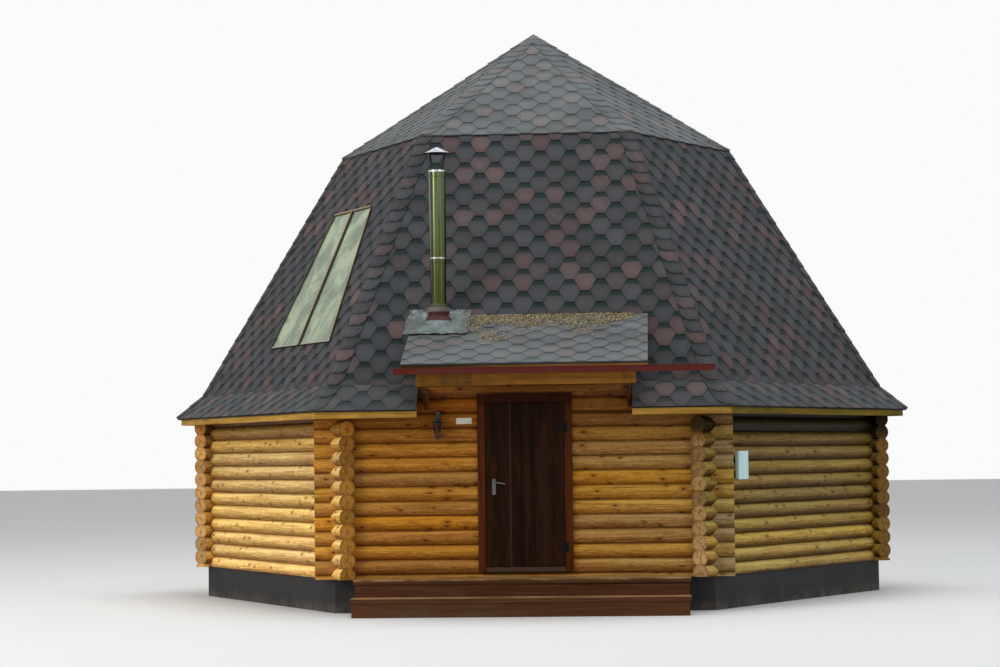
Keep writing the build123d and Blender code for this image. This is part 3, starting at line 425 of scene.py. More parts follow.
def build_log_group():
    """Round log timber: long grain, knots, drying cracks and end grain, drawn log by log."""
    tree, take = start_group("log_timber", {
        "Turn": 0.0, "Lowest": FRONT_LOG_Z, "Wall": 0.0, "Timber": (0.4, 0.2, 0.05, 1),
        "Ends": (0.3, 0.15, 0.03, 1), "Foot": (1, 1, 1, 1), "Eaves": (0.5, 0.4, 0.3, 1),
        "Roundness": 0.5})
    painted_light_strength, lowest, wall = take["Roundness"], take["Lowest"], take["Wall"]
    turned = turned_by(object_place(tree), take["Turn"])
    along, depth, height = separate(turned)
    # Which log: the higher of the two that could hold the point, unless the lower does
    high_row = calc("FLOOR", (height - lowest + (LOG_R + 0.0005)) / LOG_RISE)
    dy = depth + WALL_LINE
    low_dz = height - ((high_row - 1.0) * LOG_RISE + lowest)
    row = high_row - (distance(dy, low_dz) < LOG_R + 0.0002)
    dz = height - (row * LOG_RISE + lowest)
    radius = distance(dy, dz)
    angle = calc("ARCTAN2", dz, dy)
    # The two lengths beside the doorway are two logs
    in_front = wall < 0.5
    right_end = along > 0.0
    draw = outputs(add_node(tree, "ShaderNodeTexWhiteNoise", {
        "Vector": combine(row, wall * 3.7 + right_end * in_front, 1.5)}, noise_dimensions="3D"))
    draws = separate(draw["Color"])
    shift = draw["Value"] * 37.0
    girth = angle * LOG_R
    x = along + shift
    skin = combine(x, girth, row)
    fine_grain = noise_value(scaled(skin, (1.6, 60.0, 1.0)), 1.0, 4.0, 0.65, 0.3)
    broad_grain = noise_value(scaled(skin, (0.55, 14.0, 1.0)), 1.0, 3.0, 0.55, 0.8)
    mottle = noise_value(scaled(skin, (7.0, 34.0, 1.0)), 1.0, 4.0, 0.7, 1.6)
    # Knots: stretched cells of which only some are kept
    knot = outputs(add_node(tree, "ShaderNodeTexVoronoi", {
        "Vector": combine(x * 5.0 + row * 17.0, girth * 9.0 + row * 5.0, 0.0), "Scale": 1.0,
    }, voronoi_dimensions="2D"))
    knot_draws = separate(knot["Color"])
    kept = knot_draws[0] > 0.80
    from_knot = knot["Distance"] / (knot_draws[1] * 0.10 + 0.09)
    # Small dark specks where water sits, on the underside of each log
    speck_places = ramp(noise_value(scaled(skin, (30.0, 60.0, 1.0)), 1.0, 2.0), 0.57, 0.65)
    speck_patches = ramp(noise_value(combine(x, row, 5.0), 1.5, 2.0), 0.36, 0.56)
    under = ramp(dz, 0.01, -0.05) * ramp(painted_light_strength, 0.2, 0.7, 0.5, 1.0)
    specks = speck_places * (under * speck_patches)
    # Drying cracks: one or two broken dark lines along each log
    wander = (noise_value(combine(x * 1.3, row, 3.0), 1.0) - 0.5) * 0.9
    lines = []
    for number, (centre, spread) in enumerate(((2.2, 1.2), (-2.4, 1.4))):
        place = draws[number] * spread + (centre - spread / 2)
        presence = noise_value(combine(x * 1.1, row, 11.0 + number), 1.0, 1.0)
        lines.append(abs(angle - (place + wander)) < ramp(presence, 0.52, 0.70, 0.0, 0.030))
    cracks = calc("MAXIMUM", *lines)
    # End grain: rings, and drying splits from the heart, most of them downwards
    is_end = abs(separate(turned_by(surface_normal(tree), take["Turn"]))[0]) > 0.9
    face = combine(dy, dz, shift)
    rings = calc("SINE", (radius + noise_value(face, 14.0, 2.0) * 0.018) * 900.0) * 0.5 + 0.5
    wiggle = (noise_value(face, 30.0, 2.0) - 0.5) * 0.016
    splits = []
    for number, (lean, spread, longest) in enumerate(((-1.57, 1.5, 0.096), (0.6, 5.0, 0.055))):
        aim = (calc("FRACT", right_end * 0.37 + draws[number + 1]) - 0.5) * spread + lean
        cos_aim, sin_aim = calc("COSINE", aim), calc("SINE", aim)
        out_along = dy * cos_aim + dz * sin_aim
        beside = abs(wiggle + (dz * cos_aim - dy * sin_aim))
        reach = (out_along > -0.012) * (out_along < longest)
        splits.append(reach * ramp(beside, 0.0035, 0.0015))
    split = calc("MAXIMUM", *splits)
    # Painted highlight along the top of each log and painted shade along its underside; the same
    # paler and darker copies also draw the grain, mottle and knots
    timber = toned(take["Timber"], ramp(draw["Value"], 0.0, 1.0, 0.80, 1.18, smooth=False),
                   draws[1] * 0.007 + 0.4965, draws[0] * 0.09 + 0.95)
    dark = shaded(timber, (1.0, (0.50, 0.33, 0.20, 1)))
    pale = shaded(timber, (1.0, (1.40, 1.55, 1.80, 1)))
    worn_smooth = ramp(dz, 0.055, -0.01, 0.40, 1.0)
    wood = layered(
        timber,
        (ramp(dz, 0.005, 0.075, 0.0, 0.55), pale),
        (ramp(dz, 0.012, -0.075, 0.0, 0.62), dark),
        (ramp(broad_grain, 0.36, 0.70, 0.0, 0.60), dark),
        (worn_smooth * ramp(mottle, 0.50, 0.62, 0.0, 0.75), dark),
        (ramp(mottle, 0.46, 0.32, 0.0, 0.60), pale),
        (worn_smooth * ramp(fine_grain, 0.50, 0.64, 0.0, 0.65), dark),
        (ramp(fine_grain, 0.46, 0.34, 0.0, 0.50), pale),
        (kept * ramp(from_knot, 0.9, 3.2, 0.6, 0.0), dark),
        (kept * ramp(from_knot, 0.45, 1.0, 0.9, 0.0), (0.040, 0.014, 0.005, 1)),
        (specks * 0.8, (0.050, 0.020, 0.007, 1)),
        (cracks * 0.85, (0.018, 0.008, 0.003, 1)))
    # Painted highlight on top and painted shade underneath, as strong as the wall's painted light
    # strength; painted shade in the groove where two logs meet; and on the front wall greyer to
    # the right, most of all on its bare ends
    bare = ramp(abs(along), LOG_REACH - 0.42, LOG_REACH - 0.30)
    wood = shaded(
        wood,
        (painted_light_strength * ramp(dz, -0.01, 0.045), (1.32, 1.36, 1.50, 1)),
        (painted_light_strength * ramp(dz, 0.005, -0.06), (0.36, 0.30, 0.20, 1)),
        (ramp(abs(dz), 0.062, 0.088, 0.0, 0.6), (0.32, 0.22, 0.16, 1)),
        (in_front * ramp(along, -0.2, 1.4), (1.0, 1.22, 1.75, 1)),
        (in_front * bare, mix(right_end, (1.26, 1.37, 1.54, 1), (0.81, 1.02, 1.50, 1))))
    ends = toned(take["Ends"], ramp(draws[2], 0.0, 1.0, 0.90, 1.45))
    end_dark = shaded(ends, (1.0, (0.45, 0.36, 0.28, 1)))
    end_wood = layered(
        ends,
        (ramp(rings, 0.45, 0.95, 0.0, 0.35), end_dark),
        (ramp(noise_value(face, 22.0, 4.0), 0.48, 0.66, 0.0, 0.6), end_dark),
        (ramp(radius, 0.02, 0.0, 0.0, 0.5), end_dark),
        (split * 0.92, (0.02, 0.009, 0.003, 1)),
        (ramp(radius, 0.075, 0.1, 0.0, 0.75), end_dark))
    # Paler and greyer at the foot; darker and redder high up, a painted shade under the eaves,
    # on the shaded walls nearly black there
    colour = shaded(
        mix(is_end, wood, end_wood),
        (ramp(height, 1.3, 0.5), take["Foot"]),
        (ramp(height, 1.75, 2.42), mix(is_end, take["Eaves"], (0.85, 0.66, 0.42, 1))),
        (ramp(painted_light_strength, 0.75, 0.95) * ramp(height, 1.95, 2.16), (0.20, 0.20, 0.14, 1)),
        (ramp(noise_value(turned, 0.9, 4.0, 0.6), 0.55, 0.8, 0.0, 0.30), (0.45, 0.40, 0.36, 1)))
    end_group(tree, Color=colour,
              Roughness=calc("MAXIMUM", fine_grain * 0.2 + 0.42, is_end * 0.75),
              Height=(fine_grain * 0.35 + broad_grain * 0.5) - (cracks + is_end * split))


def build_board_group():
    """Sawn or planed boards with grain along X of the given vector."""
    tree, take = start_group("board_grain", {
        "Vector": (0, 0, 0), "Wood": (0.3, 0.2, 0.1, 1), "Contrast": 0.6, "Board": 0.0})
    x, y, z = separate(take["Vector"])
    place = combine(x + take["Board"] * 13.7, y, z)
    fine_grain = noise_value(scaled(place, (2.5, 90.0, 90.0)), 1.0, 4.0, 0.6, 0.2)
    broad_grain = noise_value(scaled(place, (0.9, 16.0, 16.0)), 1.0, 3.0, 0.5, 1.2)
    draw = node("ShaderNodeTexWhiteNoise", {"W": take["Board"]}, "Value", noise_dimensions="1D")
    tone = toned(take["Wood"], ramp(draw, 0.0, 1.0, 0.8, 1.2, smooth=False))
    dark = shaded(tone, (1.0, (0.42, 0.36, 0.32, 1)))
    knot = outputs(add_node(tree, "ShaderNodeTexVoronoi", {
        "Vector": scaled(place, (3.2, 9.0, 9.0)), "Scale": 1.0}))
    core = (separate(knot["Color"])[0] > 0.8) * ramp(knot["Distance"], 0.08, 0.14, 0.7, 0.0)
    wood = layered(
        tone,
        (ramp(broad_grain, 0.35, 0.7) * take["Contrast"], dark),
        (ramp(fine_grain, 0.5, 0.75) * take["Contrast"], dark),
        (core, shaded(tone, (1.0, (0.16, 0.10, 0.08, 1)))))
    end_group(tree, Color=wood, Roughness=fine_grain * 0.25 + 0.45,
              Height=fine_grain * 0.6 + broad_grain * 0.4)


def build_grit_group():
    """Mineral grit of roof tabs, with the dark band that is printed under the tab above."""
    tree, take = start_group("roof_grit", {
        "Tone": 0.0, "Tab": (0.5, 0.5, 0), "Plain": (0.08, 0.08, 0.08, 1),
        "Red": (0.15, 0.07, 0.06, 1), "Bleach": 0.0})
    tone = take["Tone"]
    place = object_place(tree)
    blotch = noise_value(place, 15.0, 4.0, 0.6)
    grit = noise_value(place, 420.0, 2.0, 0.7)
    speck = noise_value(place, 90.0, 3.0, 0.7)
    sheen_patches = noise_value(place, 1.3, 4.0, 0.6)
    across, up, _ = separate(take["Tab"])
    # Most tabs are charcoal, a few blue or plainly red, and many lie between
    redness = ramp(tone + (blotch - 0.5) * 0.9, 0.50, 1.06)
    blueness = ramp(calc("FRACT", tone * 23.7), 0.45, 0.95, 0.0, 0.55)
    colour = mix(redness, shaded(take["Plain"], (blueness, (0.88, 0.98, 1.07, 1))), take["Red"])
    # The printed grit is paler across the middle of each tab
    middle = ramp(abs(across - 0.5), 0.42, 0.05) * ramp(abs(up - 0.40), 0.38, 0.05)
    colour = toned(colour, calc("FRACT", tone * 7.31) * 0.42 + 0.66 + middle * 0.28)
    band = ramp(up - (speck * 0.08 + 0.725), -0.05, 0.05, 0.0, 0.90)
    colour = shaded(
        mix(band, colour, (0.007, 0.020, 0.018, 1)),
        (ramp(grit, 0.45, 0.75, 0.0, 0.45), (1.9, 1.9, 1.85, 1)),
        (ramp(speck, 0.60, 0.40, 0.0, 0.35), (0.45, 0.45, 0.45, 1)))
    # Painted sheen: the tabs are mixed toward pale grey in broad patches, as strongly as the
    # facet's painted sheen
    colour = mix(take["Bleach"] * ramp(sheen_patches, 0.3, 0.65, 0.6, 1.15), colour, (0.30, 0.33, 0.33, 1))
    end_group(tree, Color=colour, Roughness=grit * 0.15 + 0.78, Height=grit + speck * 0.8)


def build_grime_group():
    """Soft dirt that gathers in streaks and blotches."""
    tree, take = start_group("grime", {
        "Base": (0.5, 0.5, 0.5, 1), "Dirt": (0.05, 0.04, 0.03, 1), "Amount": 0.3, "Scale": 6.0})
    streak = noise_value(scaled(object_place(tree), (1.0, 1.0, 0.22)), take["Scale"], 5.0, 0.65)
    mask = ramp(streak, 0.42, 0.72) * take["Amount"]
    end_group(tree, Color=mix(mask, take["Base"], take["Dirt"]), Mask=mask)


# Materials


# Colour of the log ends, what the logs' colour is multiplied by low down and high up (high up a
# painted shade under the eaves), and the strength of the painted highlight on their tops and the
# painted shade under them. The sunlit and shaded finishes paint light and shade into the timber
# of the left and right walls.
LOG_FINISHES = {
    "front": ((0.33, 0.16, 0.035, 1), (1.0, 1.0, 1.05, 1), (0.60, 0.47, 0.42, 1), 0.2),
    "sunned": ((0.34, 0.155, 0.026, 1), (1.12, 1.15, 1.3, 1), (0.25, 0.165, 0.04, 1), 0.7),
    "far_sunned": ((0.52, 0.29, 0.10, 1), (1.12, 1.15, 1.3, 1), (0.25, 0.165, 0.04, 1), 0.7),
    "shaded": ((0.283, 0.171, 0.063, 1), (1.60, 1.58, 1.85, 1), (0.11, 0.10, 0.05, 1), 1.0),
    "far_shaded": ((0.155, 0.080, 0.018, 1), (1.60, 1.58, 1.85, 1), (0.11, 0.10, 0.05, 1), 1.0),
}


def log_material(wall, turn_steps, lowest, finish):
    """Log timber for one wall."""
    ends, foot, eaves, painted_light_strength = LOG_FINISHES[finish]
    made, tree, shader = new_material("logs_" + wall, Specular_IOR_Level=0.10)
    out = use_group(tree, "log_timber", {
        "Turn": -WALL_TURN * turn_steps, "Lowest": lowest, "Wall": float(turn_steps),
        "Timber": tuple(getattr(colours(), finish.replace("far_", "") + "_log")),
        "Ends": ends, "Foot": foot, "Eaves": eaves, "Roundness": painted_light_strength,
    })
    paint(shader, out["Color"], out["Roughness"], out["Height"], 0.5, 0.004)
    return made


def along_wall(tree):
    """A point's place turned so that X runs along the nearest of the six walls."""
    place = object_place(tree)
    x, y, _ = separate(place)
    sixths = calc("ROUND", calc("ARCTAN2", x, y * -1.0) / WALL_TURN)
    return turned_by(place, sixths * -WALL_TURN)


def board_grain(tree, grain, wood, contrast=0.6, board=0.0):
    """One use of the board grain, by three values of which the first runs along the grain."""
    return use_group(tree, "board_grain", {
        "Vector": combine(*grain), "Wood": wood, "Contrast": contrast, "Board": board})


def landing_material():
    """Red-brown stained boards, worn pale and smooth on top, with a painted shadow line at a joint
    in the fascia.
    """
    made, tree, shader = new_material("landing_boards", Specular_IOR_Level=0.10)
    x, y, z = separate(object_place(tree))
    boards = y / LANDING_BOARD
    out = board_grain(tree, (x, y, z), tuple(colours().deck), board=calc("FLOOR", boards))
    top = ramp(separate(surface_normal(tree))[2], 0.5, 0.9)
    wear = noise_value(combine(x * 0.8, y, z), 3.0, 5.0, 0.65)
    worn = mix(ramp(wear, 0.35, 0.7), (0.52, 0.32, 0.13, 1), (0.27, 0.135, 0.055, 1))
    nosing = (z > DECK_TOP - 0.016) * ramp(wear, 0.62, 0.45, 0.20, 0.60)
    gaps = ramp(abs(calc("FRACT", boards) - 0.5), 0.465, 0.485)
    # Painted shadow: a dark line under the top board's edge at the fascia joint, stronger to the
    # right
    joint = ramp(abs(z - FASCIA_JOINT), 0.008, 0.003, 0.0, 0.85) * ramp(x, 0.0, 0.9, 0.25, 1.0)
    # Grey splashes near the ground, most of them at the left
    splash = ramp(z, 0.20, 0.0, 0.0, 0.55) * ramp(wear, 0.4, 0.62) * ramp(x, 0.6, -1.0)
    colour = layered(
        out["Color"],
        (calc("MAXIMUM", top, nosing), worn),
        (top * gaps, (0.012, 0.006, 0.004, 1)),
        (joint * (1.0 - top), (0.015, 0.006, 0.004, 1)),
        (splash, (0.085, 0.060, 0.036, 1)))
    paint(shader, colour, top * -0.40 + (wear * 0.25 + 0.66), out["Height"])
    return made


def door_material():
    """Near-black stained planks with knots, and a painted highlight on the edge where one plank
    stands a little proud of the next.
    """
    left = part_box("door_leaf")[0].x
    made, tree, shader = new_material("door_timber", Specular_IOR_Level=0.03)
    x, y, z = separate(object_place(tree))
    out = board_grain(tree, (z, x, y), (0.0195, 0.0085, 0.0040, 1), 0.7,
                      calc("FLOOR", (x - left) / DOOR_PLANK))
    redder = noise_value(combine(x * 4.0, y, z * 0.7), 1.5, 4.0, 0.6)
    # Painted highlight: a thin paler line where the first plank meets the second
    edge = abs(x - (left + DOOR_PLANK))
    colour = layered(
        out["Color"],
        (ramp(redder, 0.45, 0.70, 0.0, 0.7), (0.040, 0.014, 0.007, 1)),
        (ramp(edge, 0.012, 0.006, 0.0, 0.6), (0.070, 0.034, 0.019, 1)))
    paint(shader, colour, out["Roughness"], out["Height"], 0.4)
    return made


def trim_material():
    """Red-brown stained trim, nearly black at the head and grey on the sill."""
    low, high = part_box("door_leaf")
    made, tree, shader = new_material("trim_timber", Specular_IOR_Level=0.03)
    x, y, z = separate(object_place(tree))
    out = board_grain(tree, (z, x, y), (0.088, 0.023, 0.0068, 1))
    sill = (z < low.z + 0.001) * (abs(x - (low.x + high.x) / 2) < (high.x - low.x) / 2)
    colour = layered(
        out["Color"],
        (ramp(z, high.z - 0.05, high.z + 0.01, 0.0, 0.55), (0.008, 0.004, 0.0025, 1)),
        (ramp(z, 1.2, 2.3, 0.0, 0.30), (0.020, 0.007, 0.004, 1)),
        (sill * 0.85, (0.075, 0.050, 0.035, 1)))
    paint(shader, colour, out["Roughness"], out["Height"])
    return made


def board_material(name, wood, direction="X", contrast=0.6, dirt=0.35, pale_ends=0.0,
                   shade=None):
    """A board finish with its grain along X, along Y or round the walls.

    The shade is a painted shade: it gives X or Z, where on it a multiplying colour starts and is
    full, and that colour.
    """
    made, tree, shader = new_material(name, Specular_IOR_Level=0.05)
    x, y, z = separate(object_place(tree))
    axes = {"X": x, "Z": z}
    grain = {"X": (x, y, z), "Y": (y, z, x), "round": separate(along_wall(tree))}[direction]
    out = board_grain(tree, grain, wood, contrast)
    colour = use_group(tree, "grime", {"Base": out["Color"], "Dirt": (0.03, 0.022, 0.015, 1),
                                       "Amount": dirt, "Scale": 2.5})["Color"]
    if shade:
        axis, start, full, multiplier = shade
        colour = shaded(colour, (ramp(axes[axis], start, full), multiplier))
    if pale_ends:
        ends = abs(separate(surface_normal(tree))[0]) > 0.9
        colour = mix(ends * pale_ends, colour, (0.50, 0.34, 0.15, 1))
    paint(shader, colour, out["Roughness"], out["Height"])
    return made


def tab_material(name, bleach):
    """Roof tabs with their own tone each."""
    made, tree, shader = new_material(name, Specular_IOR_Level=0.25)
    out = use_group(tree, "roof_grit", {
        "Tone": face_tone(tree), "Plain": tuple(colours().slate), "Red": tuple(colours().rust),
        "Tab": outputs(add_node(tree, "ShaderNodeUVMap", uv_map="tab"))["UV"], "Bleach": bleach,
    })
    paint(shader, out["Color"], out["Roughness"], out["Height"], 0.6)
    return made


def roof_panel_material(name, front_board=False):
    """Dark underlay outside, boards on the underside, and on the front edge if asked."""
    made, tree, shader = new_material(name, Specular_IOR_Level=0.02)
    _, facing_y, facing_z = separate(surface_normal(tree))
    place = object_place(tree)
    x, y, z = separate(place)
    courses = z / ROOF_BOARD
    out = board_grain(tree, (x, y, z), (0.40, 0.21, 0.065, 1), board=calc("FLOOR", courses))
    seam = ramp(abs(calc("FRACT", courses) - 0.5), 0.46, 0.49, 0.0, 0.7) * (facing_z < -0.2)
    boards = mix(seam, out["Color"], (0.02, 0.010, 0.004, 1))
    # Painted shade: the boards are darkened toward near-black, on the canopy's front board most at
    # its left
    lit = ramp(x, -0.9, 0.4, 0.16, 0.80) if front_board else 0.30
    boards = mix(lit, (0.018, 0.010, 0.005, 1), boards)
    grain = noise_value(place, 60.0)
    felt = mix(grain, (0.010, 0.012, 0.012, 1), (0.030, 0.031, 0.031, 1))
    outside = facing_z > -0.3
    if front_board:
        outside *= facing_y > -0.9
    else:
        outside = calc("MAXIMUM", outside, separate(along_wall(tree))[1] < 0.03 - EAVE[0])
    paint(shader, mix(outside, boards, felt), calc("MAXIMUM", out["Roughness"], outside * 0.85),
          grain, 0.3)
    return made


def painted_material(name, colour, roughness, dirt=0.3, shine=0.3):
    """Paint or plastic with dirt and a slightly uneven skin."""
    made, tree, shader = new_material(name, Specular_IOR_Level=shine)
    grime = use_group(tree, "grime", {"Base": colour, "Dirt": (0.05, 0.04, 0.03, 1),
                                      "Amount": dirt, "Scale": 7.0})
    uneven = noise_value(object_place(tree), 35.0)
    paint(shader, grime["Color"], uneven * 0.12 + (roughness - 0.06) + grime["Mask"] * 0.3,
          uneven, 0.15, 0.001)
    return made


def steel_material():
    """Drawn steel with fine streaks and a film of soot."""
    made, tree, shader = new_material("handle_steel", Metallic=1.0)
    lines = noise_value(scaled(object_place(tree), (60.0, 60.0, 1.5)), 1.0, 3.0, 0.6)
    grime = use_group(tree, "grime", {"Base": (0.13, 0.125, 0.115, 1), "Amount": 0.55,
                                      "Dirt": (0.10, 0.085, 0.05, 1), "Scale": 3.0})
    paint(shader, grime["Color"], lines * 0.18 + 0.21 + grime["Mask"] * 0.25, lines, 0.1, 0.001)
    return made


def height_bands(z, *bands):
    """Layers that lie between two heights; bands are low, high, colour."""
    return [(ramp(z, low - 0.002, low + 0.002) * ramp(z, high + 0.002, high - 0.002), colour)
            for low, high, colour in bands]


def pipe_material():
    """Steel pipe: olive streaks down it as painted reflection, and painted highlights on the rims
    at its top and joint.
    """
    made, tree, shader = new_material("pipe_steel", Metallic=1.0)
    x, y, z = separate(object_place(tree))
    turn = calc("ARCTAN2", y - PIPE_Y, x - PIPE_X)
    broad = noise_value(combine(turn * 1.7, z * 0.10, 4.0), 1.6, 2.0)
    narrow = noise_value(combine(turn * 6.0, z * 0.25, 9.0), 1.6, 4.0, 0.6)
    colour = layered(
        mix(ramp(broad, 0.36, 0.60), (0.030, 0.060, 0.042, 1), (0.125, 0.140, 0.052, 1)),
        (ramp(narrow, 0.52, 0.66, 0.0, 0.80), (0.30, 0.34, 0.20, 1)),
        (ramp(narrow, 0.45, 0.34, 0.0, 0.75), (0.022, 0.042, 0.034, 1)),
        (ramp(z, 4.9, 3.6, 0.10, 0.72), (0.035, 0.037, 0.006, 1)),
        *height_bands(z, *PIPE_BANDS))
    paint(shader, colour, narrow * 0.2 + 0.16, narrow, 0.1, 0.001)
    return made


def cap_material():
    """Chimney cap: pale zinc on top of the cone, soot black below and on the legs."""
    made, tree, shader = new_material("cap_metal", Specular_IOR_Level=0.35)
    place = object_place(tree)
    top = ramp(separate(surface_normal(tree))[2], 0.25, 0.45) * ramp(
        separate(place)[2], CAP_CONE, CAP_CONE + 0.012)
    streaks = noise_value(place, 24.0, 4.0, 0.6)
    zinc = mix(ramp(streaks, 0.35, 0.70), (0.62, 0.65, 0.67, 1), (0.33, 0.35, 0.37, 1))
    black = mix(streaks, (0.004, 0.004, 0.004, 1), (0.016, 0.016, 0.016, 1))
    paint(shader, mix(top, black, zinc), streaks * 0.25 + 0.35)
    return made


def foil_material(name, with_collar=False):
    """Crumpled foil, grey green with soil in its folds and painted highlights where it turns up;
    the collar above it is dark red.
    """
    made, tree, shader = new_material(name, Metallic=0.2, Specular_IOR_Level=0.3)
    place = object_place(tree)
    x, _, z = separate(place)
    patches = noise_value(place, 7.0, 5.0, 0.65, 0.8)
    folds = noise_value(place, 38.0, 5.0, 0.7, 1.5)
    # Near the tabs' colour away from the pipe, with painted highlights where it is turned up
    outer = ramp(patches * 0.25 + abs(x - (PIPE_X + 0.03)), 0.33, 0.40, 0.0, 0.85)
    streaked = mix(ramp(folds, 0.42, 0.36), (0.105, 0.108, 0.105, 1), (0.36, 0.37, 0.37, 1))
    painted_highlight = ramp(z, FOIL_HIGHLIGHT - 0.02, FOIL_HIGHLIGHT + 0.03) * ramp(folds, 0.48, 0.34)
    layers = [
        (ramp(folds, 0.50, 0.68, 0.0, 0.75), (0.045, 0.055, 0.052, 1)),
        (outer, streaked),
        (painted_highlight, (0.62, 0.64, 0.66, 1))]
    if with_collar:
        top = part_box("chimney_flashing")[1].z
        layers += height_bands(z, (top - 0.205, top - 0.095, (0.060, 0.014, 0.013, 1)),
                               (top - 0.095, top - 0.046, (0.20, 0.165, 0.150, 1)),
                               (top - 0.046, top + 0.01, (0.055, 0.060, 0.022, 1)))
    colour = layered(mix(ramp(patches, 0.40, 0.62), (0.20, 0.245, 0.24, 1),
                         (0.095, 0.125, 0.12, 1)), *layers)
    paint(shader, colour, folds * 0.3 + 0.26, folds, 0.7, 0.012)
    return made


def litter_material():
    """Dry needles and husks, straw to dark brown piece by piece."""
    made, tree, shader = new_material("needle_litter", Specular_IOR_Level=0.2)
    tone = face_tone(tree)
    fibres = noise_value(object_place(tree), 160.0, 2.0)
    colour = layered(
        mix(ramp(tone, 0.34, 0.54), (0.028, 0.021, 0.010, 1), (0.32, 0.245, 0.085, 1)),
        (ramp(tone, 0.62, 0.92), (0.78, 0.66, 0.42, 1)),
        (ramp(fibres, 0.4, 0.7, 0.0, 0.4), (0.06, 0.035, 0.015, 1)))
    paint(shader, colour, 0.8)
    return made


def bar_material():
    """Roof window bars: tan on their outer faces, with painted shade on their sides."""
    made, tree, shader = new_material("window_bars", Specular_IOR_Level=0.2)
    x, y, z = separate(object_place(tree))
    out = board_grain(tree, (z, x, y), (0.25, 0.17, 0.095, 1), 0.4)
    facing_z = separate(surface_normal(tree))[2]
    outer = ramp(facing_z, 0.38, 0.46) * ramp(facing_z, 0.72, 0.64)
    foot = ramp(z, BAR_FOOT + 0.01, BAR_FOOT - 0.01, 0.0, 0.8)
    wood = mix(foot, out["Color"], (0.30, 0.34, 0.27, 1))
    # Painted shade: all but the bars' outer faces are near-black
    colour = mix(outer, (0.030, 0.022, 0.014, 1), wood)
    paint(shader, colour, out["Roughness"], out["Height"], 0.3)
    return made


def lantern_material():
    """Black iron with a zinc roof and finial."""
    made, tree, shader = new_material("lantern_metal", Specular_IOR_Level=0.35)
    place = object_place(tree)
    wear = noise_value(place, 60.0, 4.0, 0.6)
    roof = separate(place)[2] > LANTERN_ROOF
    iron = mix(wear, (0.006, 0.006, 0.006, 1), (0.020, 0.019, 0.018, 1))
    zinc = mix(ramp(wear, 0.4, 0.65), (0.060, 0.062, 0.062, 1), (0.016, 0.016, 0.016, 1))
    paint(shader, mix(roof, iron, zinc), wear * 0.2 + 0.35)
    return made


def plinth_material():
    """Rough dark render splashed from the ground."""
    made, tree, shader = new_material("plinth_render", Specular_IOR_Level=0.3)
    place = object_place(tree)
    coarse = noise_value(place, 4.0, 6.0, 0.7)
    fine = noise_value(place, 120.0, 3.0, 0.7)
    splash = ramp(separate(place)[2], 0.16, 0.0) * ramp(coarse, 0.35, 0.65) * 0.6
    colour = mix(coarse, (0.012, 0.012, 0.014, 1), (0.045, 0.042, 0.04, 1))
    paint(shader, mix(splash, colour, (0.13, 0.11, 0.085, 1)), fine * 0.2 + 0.75, fine + coarse,
          0.6, 0.006)
    return made


def glass_material(name, clear, film, transmission, roughness, ior=1.5):
    """Glass with a cloudy film on it; on the roof window its green tint and paler green film are
    painted reflection.
    """
    made, tree, shader = new_material(name, Transmission_Weight=transmission, IOR=ior)
    place = object_place(tree)
    cloud = noise_value(place, 2.2, 5.0, 0.62, 0.5)
    spots = noise_value(place, 15.0, 5.0, 0.7)
    colour = shaded(mix(ramp(cloud, 0.38, 0.62), clear, film),
                    (ramp(spots, 0.50, 0.66, 0.0, 0.6), (0.40, 0.50, 0.38, 1)))
    paint(shader, colour, roughness)
    return made


def set_material(nodes, material):
    """Puts one material on whole CAD nodes, named with spaces between them."""
    for name in nodes.split():
        data = NODES[name].data
        data.materials.clear()
        data.materials.append(material)


# Mesh helpers


class Sheet:
    """Vertices, faces and face tones gathered for one mesh."""

    def __init__(self):
        self.points = []
        self.faces = []
        self.tones = []
        self.places = []

    def add(self, points, faces, tone=0.0, places=None):
        """Adds a closed bit of mesh; places are UV pairs, one for each point."""
        start = len(self.points)
        self.points.extend(points)
        self.faces.extend(tuple(start + i for i in face) for face in faces)
        self.tones.extend([tone] * len(faces))
        self.places.extend(places or [(0.0, 0.0)] * len(points))

    def add_plate(self, tops, feet, tone=0.0, places=None):
        """Adds a closed plate between two outlines; places are those of one outline."""
        count = len(tops)
        faces = [tuple(range(count)), tuple(range(2 * count - 1, count - 1, -1))]
        faces += [(i, i + count, (i + 1) % count + count, (i + 1) % count) for i in range(count)]
        self.add(tops + feet, faces, tone, places and places * 2)

    def make(self, name, material, slot, body=CABIN):
        """The finished object, riding on a body."""
        data = bpy.data.meshes.new(name)
        data.from_pydata([tuple(p) for p in self.points], [], self.faces)
        data.attributes.new("tone", "FLOAT", "FACE").data.foreach_set("value", self.tones)
        uv = data.uv_layers.new(name="tab")
        for loop in data.loops:
            uv.data[loop.index].uv = self.places[loop.vertex_index]
        data.materials.append(material)
        data.validate()
        made = bpy.data.objects.new(name, data)
        bpy.context.collection.objects.link(made)
        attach(made, body)
        return made


class Facet:
    """One plane of the roof: x across and y up from the middle of its lower edge."""

    def __init__(self, low, high, steps):
        self.low_half = low[0] / COS30 / 2
        self.high_half = high[0] / COS30 / 2
        rise = Vector((0, low[0] - high[0], high[1] - low[1]))
        turn = Matrix.Rotation(WALL_TURN * steps, 3, "Z")
        self.length = rise.length
        self.origin = turn @ Vector((0, -low[0], low[1]))
        self.across = turn @ Vector((1, 0, 0))
        self.up = turn @ rise.normalized()
        self.out = self.across.cross(self.up)

    def half(self, v):
        """Half the facet's width at a height up the slope."""
        return self.low_half + (self.high_half - self.low_half) * v / self.length

    def place(self, u, v, h=0.0):
        """A point on the facet, h off its surface."""
        return self.origin + self.across * u + self.up * v + self.out * h

    def limits(self):
        """The facet's outline as half planes a*u + b*v <= c."""
        lean = (self.low_half - self.high_half) / self.length
        return [(1, lean, self.low_half), (-1, lean, self.low_half), (0, 1, self.length),
                (0, -1, 0.004)]


